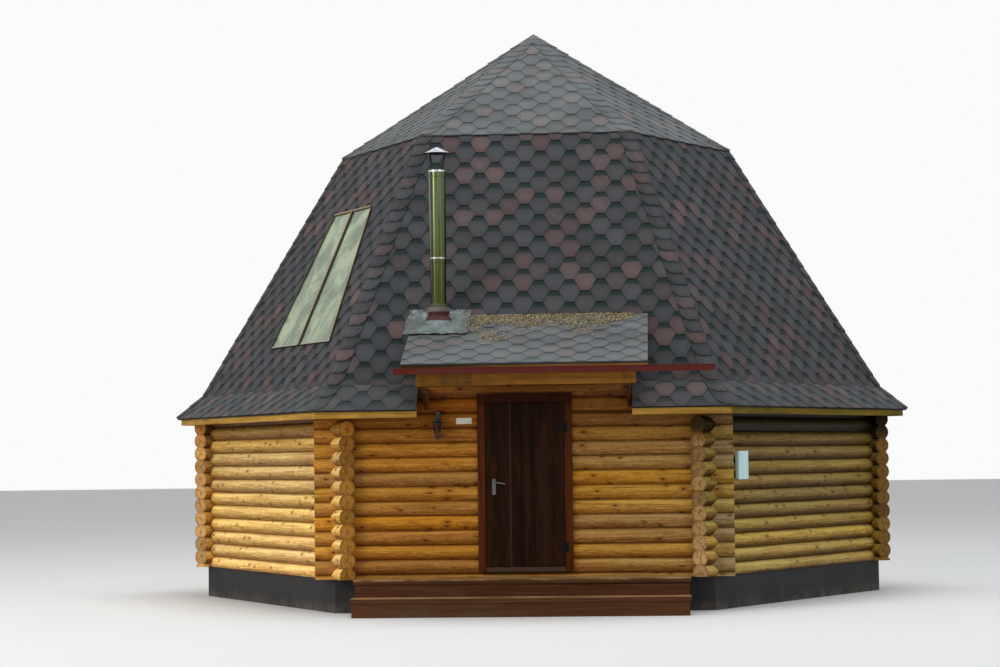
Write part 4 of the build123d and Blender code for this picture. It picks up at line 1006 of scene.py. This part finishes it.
def clip(polygon, planes):
    """The part of a convex polygon inside every half plane a*u + b*v <= c."""
    for a, b, c in planes:
        kept = []
        for i, (u1, v1) in enumerate(polygon):
            u0, v0 = polygon[i - 1]
            d0, d1 = a * u0 + b * v0 - c, a * u1 + b * v1 - c
            if (d0 <= 0) != (d1 <= 0):
                t = d0 / (d0 - d1)
                kept.append((u0 + (u1 - u0) * t, v0 + (v1 - v0) * t))
            if d1 <= 0:
                kept.append((u1, v1))
        polygon = kept
    return polygon


def area(polygon):
    """Area of a polygon."""
    return abs(sum(polygon[i - 1][0] * p[1] - p[0] * polygon[i - 1][1]
                   for i, p in enumerate(polygon))) / 2


def outside_window():
    """Four regions that cover the left front roof except its window."""
    lower_left, lower_right, upper_right, upper_left = WINDOW
    edge = 0.004

    def side_plane(p, q, sign):
        """Half plane on one side of the line from p up to q."""
        du, dv = q[0] - p[0], q[1] - p[1]
        size = math.hypot(du, dv)
        a, b = dv / size * sign, -du / size * sign
        return (a, b, a * p[0] + b * p[1] - edge)

    left = side_plane(lower_left, upper_left, 1)
    right = side_plane(lower_right, upper_right, -1)
    between = [tuple(-part for part in plane) for plane in (left, right)]
    return [[left], [right], between + [(0, 1, lower_left[1] - edge)],
            between + [(0, -1, -upper_left[1] - edge)]]


def lay_tabs(sheet, facet, draw, regions=((),)):
    """Covers a facet with hexagonal tabs, each a thin plate lifted at its lower edge."""
    given = roof_settings()
    tip, wide = given.tip, given.pitch - given.tip - 0.002
    least_area = 2e-4
    rows = int(facet.length / given.exposure) + 2
    columns = int(facet.low_half / given.pitch / 2) + 2
    for row in range(-1, rows):
        v0, v1, v2 = [(row + step) * given.exposure for step in range(3)]
        for column in range(-columns, columns + 1):
            u0 = (column + 0.5 * (row % 2)) * 2 * given.pitch
            tone = draw.random()
            sway = draw.uniform(-0.002, 0.002)
            drop = draw.uniform(-0.003, 0.003)
            lift = given.lift * draw.uniform(0.8, 1.25)
            shape = [(u0 + u, v) for u, v in (
                (-tip + sway, v0 + drop), (tip + sway, v0 + drop), (wide, v1), (tip, v2),
                (-tip, v2), (-wide, v1))]
            for region in regions:
                piece = clip(shape, list(region) + facet.limits())
                if area(piece) < least_area:
                    continue
                shares = [(v - v0) / (2 * given.exposure) for u, v in piece]
                sheet.add_plate(
                    [facet.place(u, v, lift * (1 - share) + 0.001)
                     for (u, v), share in zip(piece, shares)],
                    [facet.place(u, v, -0.002) for u, v in piece], tone,
                    [((u - u0) / given.pitch / 2 + 0.5, share)
                     for (u, v), share in zip(piece, shares)])


def lay_hip(sheet, facet, next_facet, draw):
    """Folded tabs up the hip between one facet and the next."""
    given = roof_settings()
    outward = (facet.out + next_facet.out).normalized()
    steps = int(facet.length / given.exposure)
    step = facet.length / steps
    faces = [(1, 0, 9, 10), (2, 1, 10, 11), (6, 7, 16, 15), (7, 8, 17, 16)]
    for i in (0, 3):
        faces += [(i, i + 1, i + 4, i + 3), (i + 1, i + 2, i + 5, i + 4),
                  (i + 12, i + 13, i + 10, i + 9), (i + 13, i + 14, i + 11, i + 10),
                  (i, i + 3, i + 12, i + 9), (i + 5, i + 2, i + 11, i + 14)]
    for number in range(steps):
        v0 = number * step
        v1 = min(v0 + step * HIP_OVERLAP, facet.length)
        tone = draw.random()
        lift = given.lift * draw.uniform(1.7, 2.4)
        points, places = [], []
        for v, share, narrow in ((v0, 0.0, 0.50), (v0 + 0.075, 0.34, 1.0), (v1, 1.0, 1.0)):
            h = lift * (1 - share) + given.lift * 0.95 * share
            half = facet.half(v)
            side = min(HIP_WIDTH * narrow, max(half, 0.003))
            points += [facet.place(half - side, v, h),
                       facet.place(half, v) + outward * (h + 0.002),
                       next_facet.place(side - half, v, h)]
            # The tab's up place runs past 1, so the printed dark band lies just below the next
            # cap's lower edge as a painted shadow line
            places += [(across, share * 1.22) for across in (0.0, 0.5, 1.0)]
        points += [p - outward * HIP_THICK for p in points]
        sheet.add(points, faces, tone, places * 2)


def soften(obj, width):
    """Rounds an object's sharp edges."""
    bevel = obj.modifiers.new("rounded", "BEVEL")
    bevel.width = width
    bevel.segments = 2
    bevel.limit_method = "ANGLE"
    bevel.angle_limit = math.radians(40)


# Operators


class CABIN_OT_walls(bpy.types.Operator):
    """Gives every wall its own log timber."""

    bl_idname = "cabin.walls"
    bl_label = "Log walls"

    def execute(self, context):
        build_log_group()
        for wall, *finish in WALLS:
            set_material(wall, log_material(wall, *finish))
        set_material("plinth", plinth_material())
        set_material("floor", board_material("floor_boards", (0.30, 0.17, 0.07, 1)))
        return {"FINISHED"}


class CABIN_OT_roof(bpy.types.Operator):
    """Lays the roof's hexagonal tabs and folded hip tabs."""

    bl_idname = "cabin.roof"
    bl_label = "Roof tabs"

    def execute(self, context):
        set_material("steep_roof_front steep_roof_left_front steep_roof_others upper_roof "
                     "skirt_roof", roof_panel_material("roof_panel"))
        set_material("canopy_roof", roof_panel_material("canopy_panel", front_board=True))
        draw = random.Random(roof_settings().seed)
        drip = (BREAK[0] + DRIP, BREAK[1] - DRIP * UPPER_FALL)
        # The last value of each band is its painted sheen, palest on the flatter upper roof
        for band, low, high, bleach in (("skirt", EAVE, KNEE, 0.06), ("steep", KNEE, BREAK, 0.0),
                                        ("upper", drip, APEX, 0.28)):
            material = tab_material("roof_tabs_" + band, bleach)
            facets = [Facet(low, high, steps) for steps in range(6)]
            tabs, hips = Sheet(), Sheet()
            for steps, facet in enumerate(facets):
                regions = ((),)
                if band == "skirt" and steps == 0:
                    regions = ([(1, 0, EAVE_X0)], [(-1, 0, -EAVE_X1)])
                if band == "steep" and steps == 5:
                    regions = outside_window()
                lay_tabs(tabs, facet, draw, regions)
                lay_hip(hips, facet, facets[(steps + 1) % 6], draw)
            tabs.make("roof_tabs_" + band, material, slot="shingle")
            hips.make("hip_tabs_" + band, material, slot="shingle")
        self.apex_cap(draw)
        return {"FINISHED"}

    def apex_cap(self, draw):
        """Six folded tabs that close the roof at its apex."""
        cap = Sheet()
        for step in range(6):
            tone = draw.random()
            tops = [Vector((0, 0, APEX[1] + APEX_LIFT))]
            for turn, reach in ((-0.5, 0.20), (-0.25, 0.215), (0.25, 0.215), (0.5, 0.20)):
                angle = WALL_TURN * (step + turn)
                sink = reach * math.cos(WALL_TURN * turn) * UPPER_FALL
                tops.append(Vector((reach * math.sin(angle), -reach * math.cos(angle),
                                    APEX[1] + APEX_LIFT - sink)))
            cap.add_plate(tops, [p - Vector((0, 0, APEX_THICK)) for p in tops], tone,
                          [(0.5, 0.4)] * 5)
        cap.make("apex_tabs", bpy.data.materials["roof_tabs_upper"], slot="shingle")


class CABIN_OT_canopy(bpy.types.Operator):
    """Covers the canopy over the door with tabs."""

    bl_idname = "cabin.canopy"
    bl_label = "Canopy"

    def execute(self, context):
        front, root = CANOPY[0].y, CANOPY[1].y
        facet = Facet((-front, CANOPY[1].z - (root - front) * CANOPY_SLOPE),
                      (-root, CANOPY[1].z), 0)
        facet.low_half = facet.high_half = CANOPY[1].x
        draw = random.Random(roof_settings().seed + 1)
        tabs = Sheet()
        lay_tabs(tabs, facet, draw, ([(-1, 0, -CANOPY[0].x)],))
        # The canopy's tabs get a painted sheen of 0.30
        tabs.make("canopy_tabs", tab_material("canopy_tabs", 0.30), slot="shingle")
        self.drip_edge(facet)
        self.foil(facet)
        self.litter(facet, draw)
        # Painted shade: the canopy's boards are darker below the arms' tops, under the canopy
        set_material("canopy_frame", board_material(
            "canopy_boards", (0.31, 0.130, 0.022, 1), contrast=0.75, dirt=0.5, pale_ends=0.25,
            shade=("Z", ARM_TOP + 0.01, ARM_TOP - 0.01, (0.30, 0.22, 0.18, 1))))
        # Painted shade: the fascia turns darker and olive past the corner onto the right front
        # facet
        set_material("eave_fascia", board_material(
            "fascia_board", (0.52, 0.29, 0.052, 1), "round", 0.7, dirt=0.22,
            shade=("X", 2.44, 2.50, (0.36, 0.43, 0.23, 1))))
        set_material("eave_brackets", board_material("bracket_boards", (0.34, 0.18, 0.05, 1), "Y"))
        return {"FINISHED"}

    def drip_edge(self, facet):
        """A thin dark strip that wraps the canopy's front edge."""
        strip = Sheet()
        lip = Vector((0, 0, 0.014))
        outline = [facet.place(0, 0.05, 0.001), facet.place(0, -0.009, 0.001),
                   facet.place(0, -0.009, 0.001) - lip, facet.place(0, -0.004, 0.001) - lip,
                   facet.place(0, -0.004, -0.006), facet.place(0, 0.05, -0.006)]
        strip.add_plate(*([Vector((x, p.y, p.z)) for p in outline]
                          for x in (CANOPY[1].x + 0.004, CANOPY[0].x - 0.004)))
        tin = painted_material("drip_edge_tin", (0.012, 0.016, 0.016, 1), 0.5, 0.4)
        soften(strip.make("canopy_drip_edge", tin, slot="shingle"), 0.0015)

    def foil(self, facet):
        """Crumpled foil laid over the tabs round the chimney."""
        low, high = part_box("chimney_flashing")
        left, right = low.x - 0.015, high.x + 0.015
        top, bottom = facet.length + FOIL_TURN_UP, facet.length - FOIL_REACH
        steep = Facet(KNEE, BREAK, 0)
        root_up = (facet.place(0, facet.length) - steep.origin).dot(steep.up)
        across, down = FOIL_CELLS
        noise.seed_set(FOIL_SEED)
        tops, feet = [], []
        for j in range(down + 1):
            for i in range(across + 1):
                u = left + (right - left) * i / across
                v = bottom + (top - bottom) * j / down
                seed = Vector((u * 8, v * 8, 3.1))
                folds = noise.ridged_multi_fractal(seed, 0.9, 2.1, 4, 1.0, 2.0)
                rim = min(i, across - i, j, down - j)
                # A ragged outline
                shift = noise.noise_vector(seed * 0.8) * (0.030 if rim < 2 else 0.010)
                lift = 0.0155 + 0.013 * min(1.0, folds * 0.5) + (0.007 if rim == 0 else 0.0)
                u += shift.x
                v += max(-0.01, shift.y) * (1.0 if j < 3 or j > down - 3 else 0.4)
                plane, up = facet, v
                if v > facet.length - 0.01:
                    plane, up = steep, root_up + (v - facet.length) + 0.012
                    lift += 0.004
                tops.append(plane.place(u, up, lift))
                feet.append(plane.place(u, up, lift - 0.0015))
        row, size = across + 1, len(tops)
        faces = []
        for j in range(down):
            for a in range(j * row, j * row + across):
                b = a + size
                faces += [(a, a + 1, a + row + 1, a + row), (b, b + row, b + row + 1, b + 1)]
        border = (list(range(across)) + list(range(across, size, row))
                  + list(range(size - 2, down * row - 1, -1))
                  + list(range((down - 1) * row, 0, -row)))
        faces += [(b, a, a + size, b + size) for a, b in zip(border, border[1:] + border[:1])]
        sheet = Sheet()
        sheet.add(tops + feet, faces)
        sheet.make("chimney_foil", foil_material("chimney_foil"), slot="foil")

    def litter(self, facet, draw):
        """Dry needles along the canopy's root and in a few drifts below."""
        bits = Sheet()
        right, root = CANOPY[1].x - 0.16, facet.length
        for _ in range(LITTER_BITS):
            along = draw.random()
            u = LITTER_LEFT + (right - LITTER_LEFT) * along
            deep = 0.38 + 0.14 * noise.noise(Vector((u * 4, 1.0, 0.0)))
            deep *= 1.0 - 0.5 * max(0.0, (along - 0.85) / 0.15)
            if draw.random() < 0.80:
                v = root - 0.004 - deep * draw.random() ** 1.6
            else:
                middle, half_wide, start, reach = draw.choice(DRIFTS)
                u = middle + draw.gauss(0, half_wide / 2)
                v = root - start - draw.gauss(0, reach / 2.4)
            if CANOPY[0].x + 0.3 < u < right and 0.05 < v < root:
                self.add_bit(bits, facet, u, v, draw)
        bits.make("needle_litter", litter_material(), slot="pale_board")

    def add_bit(self, bits, facet, u, v, draw):
        """One dry needle or husk: a thin folded blade lying on the tabs."""
        length = draw.uniform(0.014, 0.040)
        wide = draw.uniform(0.003, 0.008)
        turn = draw.uniform(0, math.pi)
        h = draw.uniform(0.013, 0.024)
        tip = draw.uniform(-0.004, 0.006)
        cos_turn, sin_turn = math.cos(turn), math.sin(turn)
        ends = []
        for s, t, up in ((-0.5, 0.0, 0.0), (0.0, -0.5, 0.001), (0.5, 0.0, tip), (0.0, 0.5, 0.001),
                         (0.0, 0.0, 0.003)):
            s, t = s * length, t * wide
            ends.append(facet.place(u + cos_turn * s - sin_turn * t,
                                    v + sin_turn * s + cos_turn * t, h + up))
        bits.add(ends, [(0, 1, 4), (1, 2, 4), (2, 3, 4), (3, 0, 4), (3, 2, 1, 0)], draw.random())


class CABIN_OT_door(bpy.types.Operator):
    """Finishes the door, its frame and its fittings."""

    bl_idname = "cabin.door"
    bl_label = "Door"

    def execute(self, context):
        set_material("door_leaf", door_material())
        set_material("door_frame door_trim", trim_material())
        set_material("door_hinges_fixed door_hinges_moving", painted_material(
            "black_iron", (0.004, 0.004, 0.004, 1), 0.5, 0.15, shine=0.1))
        set_material("handle_plates handle_levers", steel_material())
        return {"FINISHED"}


class CABIN_OT_landing(bpy.types.Operator):
    """Boards the landing and its lower step."""

    bl_idname = "cabin.landing"
    bl_label = "Landing"

    def execute(self, context):
        set_material("upper_deck deck_frame lower_step", landing_material())
        return {"FINISHED"}


class CABIN_OT_metalwork(bpy.types.Operator):
    """Finishes the gutter, chimney and flashing."""

    bl_idname = "cabin.metalwork"
    bl_label = "Metalwork"

    def execute(self, context):
        set_material("gutter", painted_material(
            "gutter_paint", tuple(colours().gutter), 0.4, 0.25, shine=0.12))
        set_material("chimney_pipe", pipe_material())
        set_material("chimney_cap", cap_material())
        set_material("chimney_flashing", foil_material("flashing_foil", with_collar=True))
        return {"FINISHED"}


class CABIN_OT_window(bpy.types.Operator):
    """Finishes the roof window."""

    bl_idname = "cabin.window"
    bl_label = "Roof window"

    def execute(self, context):
        set_material("skylight_frame", bar_material())
        # Painted reflection: the window glass's green tint and its paler green patches
        set_material("skylight_glass", glass_material(
            "window_glass", (0.10, 0.17, 0.070, 1), (0.40, 0.50, 0.26, 1), 0.35, 0.08))
        caps, dark_strips = Sheet(), Sheet()
        lower_left, _, upper_right, upper_left = WINDOW
        # Dark strips: one along the left bar, and one just right of the middle bar as a painted
        # shadow
        beside = [(u + 0.036, v) for u, v in WINDOW_BAR]
        self.strip(caps, WINDOW_BAR, 0.019, WINDOW_RISE, 0.016)
        self.strip(caps, (upper_left, upper_right), 0.017, WINDOW_RISE, 0.012)
        self.strip(dark_strips, (lower_left, upper_left), 0.022, WINDOW_RISE, 0.010)
        self.strip(dark_strips, beside, 0.017, WINDOW_RISE - 0.004, 0.006)
        soften(caps.make("window_bar_caps", bpy.data.materials["window_bars"],
                         slot="window_bar"), 0.003)
        dark_strips.make("window_gaskets", painted_material(
            "gasket_black", (0.020, 0.018, 0.014, 1), 0.6), slot="black_metal")
        return {"FINISHED"}

    def strip(self, sheet, line, half_wide, low, thick):
        """A flat strip along a line of the window's facet."""
        facet = Facet(KNEE, BREAK, 5)
        (u0, v0), (u1, v1) = line
        size = math.hypot(u1 - u0, v1 - v0)
        du, dv = (v1 - v0) / size * half_wide, -(u1 - u0) / size * half_wide
        outline = [(u0 - du, v0 - dv), (u0 + du, v0 + dv), (u1 + du, v1 + dv), (u1 - du, v1 - dv)]
        sheet.add_plate(*([facet.place(u, v, h) for u, v in outline]
                          for h in (low + thick, low + 0.001)))


class CABIN_OT_fittings(bpy.types.Operator):
    """Finishes the lantern, plaque and meter box."""

    bl_idname = "cabin.fittings"
    bl_label = "Wall fittings"

    def execute(self, context):
        set_material("lantern", lantern_material())
        set_material("plaque", painted_material("plaque_enamel", (0.60, 0.55, 0.44, 1), 0.4))
        set_material("meter_box", painted_material(
            "meter_case", (0.60, 0.82, 0.80, 1), 0.45, 0.15, shine=0.1))
        self.lantern_panes()
        return {"FINISHED"}

    def lantern_panes(self):
        """Six clear panes between the lantern's bars."""
        low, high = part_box("lantern")
        x = (low.x + high.x) / 2
        panes = Sheet()
        for side in range(6):
            (a, b), (d, c) = [
                [Vector((x + radius * math.cos(angle), LANTERN_Y + radius * math.sin(angle), z))
                 for angle in (math.radians(60 * turn + 30) for turn in (side, side + 1))]
                for z, radius in PANE_ENDS]
            inward = (Vector((x, LANTERN_Y, a.z)) - (a + b) / 2).normalized() * PANE_THICK
            panes.add_plate([a, b, c, d], [p + inward for p in (a, b, c, d)])
        panes.make("lantern_panes", glass_material(
            "lantern_glass", (0.80, 0.78, 0.72, 1), (0.70, 0.68, 0.62, 1), 1.0, 0.0, 1.08),
            slot="glass")


class CABIN_OT_stage(bpy.types.Operator):
    """Sets up the studio floor, light and camera."""

    bl_idname = "cabin.stage"
    bl_label = "Stage"

    def execute(self, context):
        given = context.scene.cabin_stage
        size = given.floor_size / 2
        data = bpy.data.meshes.new("studio_floor")
        data.from_pydata([(-size, -size, 0), (size, -size, 0), (size, size, 0), (-size, size, 0)],
                         [], [(0, 1, 2, 3)])
        floor = bpy.data.objects.new("studio_floor", data)
        bpy.context.collection.objects.link(floor)
        data.materials.append(new_material(
            "studio_floor", Roughness=0.9, Base_Color=(0.80, 0.80, 0.79, 1))[0])
        self.light_world(context)
        self.add_lamp("key_light", (-20, -19, 13), 12.0, 2700, (1.0, 0.97, 0.92))
        self.add_lamp("sky_light", (2, -3, 24), 16.0, 2600, (0.94, 0.97, 1.0))
        self.add_lamp("fill_light", (18, -22, 9), 14.0, 700, (0.92, 0.96, 1.0))
        self.add_camera(context, given)
        context.scene.view_settings.view_transform = "Standard"
        return {"FINISHED"}

    def light_world(self, context):
        """A pale world: white to the camera, dimmer as a light."""
        world = bpy.data.worlds.new("studio")
        context.scene.world = world
        world.use_nodes = True
        tree = world.node_tree
        tree.nodes.clear()
        path = outputs(add_node(tree, "ShaderNodeLightPath"))
        seen = calc("MAXIMUM", path["Is Camera Ray"], calc(
            "MAXIMUM", path["Is Glossy Ray"], path["Is Transmission Ray"]))
        light, white = [
            Value(add_node(tree, "ShaderNodeBackground",
                           {"Color": colour, "Strength": strength}).outputs[0])
            for colour, strength in (((0.95, 0.97, 1.0, 1), 0.52), ((1.0, 1.0, 1.0, 1), 0.96))]
        both = node("ShaderNodeMixShader", {0: seen, 1: light, 2: white})
        add_node(tree, "ShaderNodeOutputWorld", {"Surface": both})

    def add_lamp(self, name, place, size, power, colour):
        """A large square lamp aimed at the middle of the cabin."""
        lamp = bpy.data.lights.new(name, "AREA")
        lamp.size = size
        lamp.energy = power
        lamp.color = colour
        made = bpy.data.objects.new(name, lamp)
        made.location = place
        aim = Vector((0, 0, 2.5)) - Vector(place)
        made.rotation_euler = aim.to_track_quat("-Z", "Y").to_euler()
        bpy.context.collection.objects.link(made)

    def add_camera(self, context, given):
        """A camera by place, turn, tip and roll."""
        lens = bpy.data.cameras.new("camera")
        lens.lens = given.lens
        lens.sensor_width = 36.0
        lens.clip_end = 500.0
        camera = bpy.data.objects.new("camera", lens)
        yaw, tip, roll = -given.yaw, given.pitch, given.roll
        ahead = Vector((math.sin(yaw) * math.cos(tip), math.cos(yaw) * math.cos(tip),
                        math.sin(tip)))
        level = Vector((math.cos(yaw), -math.sin(yaw), 0))
        above = level.cross(ahead)
        right = level * math.cos(roll) + above * math.sin(roll)
        up = above * math.cos(roll) - level * math.sin(roll)
        turn = Matrix((right, up, -ahead)).transposed().to_4x4()
        camera.matrix_world = Matrix.Translation(Vector(given.eye)) @ turn
        bpy.context.collection.objects.link(camera)
        context.scene.camera = camera


OPERATORS = (
    CABIN_OT_walls,
    CABIN_OT_roof,
    CABIN_OT_canopy,
    CABIN_OT_door,
    CABIN_OT_landing,
    CABIN_OT_metalwork,
    CABIN_OT_window,
    CABIN_OT_fittings,
    CABIN_OT_stage,
)


class CABIN_PT_panel(bpy.types.Panel):
    """Lists the cabin's settings and its pieces."""

    bl_idname = "CABIN_PT_panel"
    bl_label = "Log cabin"
    bl_space_type = "VIEW_3D"
    bl_region_type = "UI"
    bl_category = "Cabin"

    def draw(self, context):
        layout = self.layout
        for group in (context.scene.cabin_roof, context.scene.cabin_colours,
                      context.scene.cabin_stage):
            box = layout.box()
            for name in group.__annotations__:
                box.prop(group, name)
        for operator in OPERATORS:
            layout.operator(operator.bl_idname)


CLASSES = (CabinRoofSettings, CabinColourSettings, CabinStageSettings) + OPERATORS + (
    CABIN_PT_panel,)


def register():
    """Registers the classes and the scene's settings."""
    for cls in CLASSES:
        bpy.utils.register_class(cls)
    bpy.types.Scene.cabin_roof = bpy.props.PointerProperty(type=CabinRoofSettings)
    bpy.types.Scene.cabin_colours = bpy.props.PointerProperty(type=CabinColourSettings)
    bpy.types.Scene.cabin_stage = bpy.props.PointerProperty(type=CabinStageSettings)


def unregister():
    """Removes the settings and the classes."""
    del bpy.types.Scene.cabin_roof
    del bpy.types.Scene.cabin_colours
    del bpy.types.Scene.cabin_stage
    for cls in reversed(CLASSES):
        bpy.utils.unregister_class(cls)


def main():
    """Builds every piece in order."""
    register()
    build_board_group()
    build_grit_group()
    build_grime_group()
    for operator in OPERATORS:
        name = operator.bl_idname.split(".")[1]
        getattr(bpy.ops.cabin, name)()


if __name__ == "__main__":
    main()
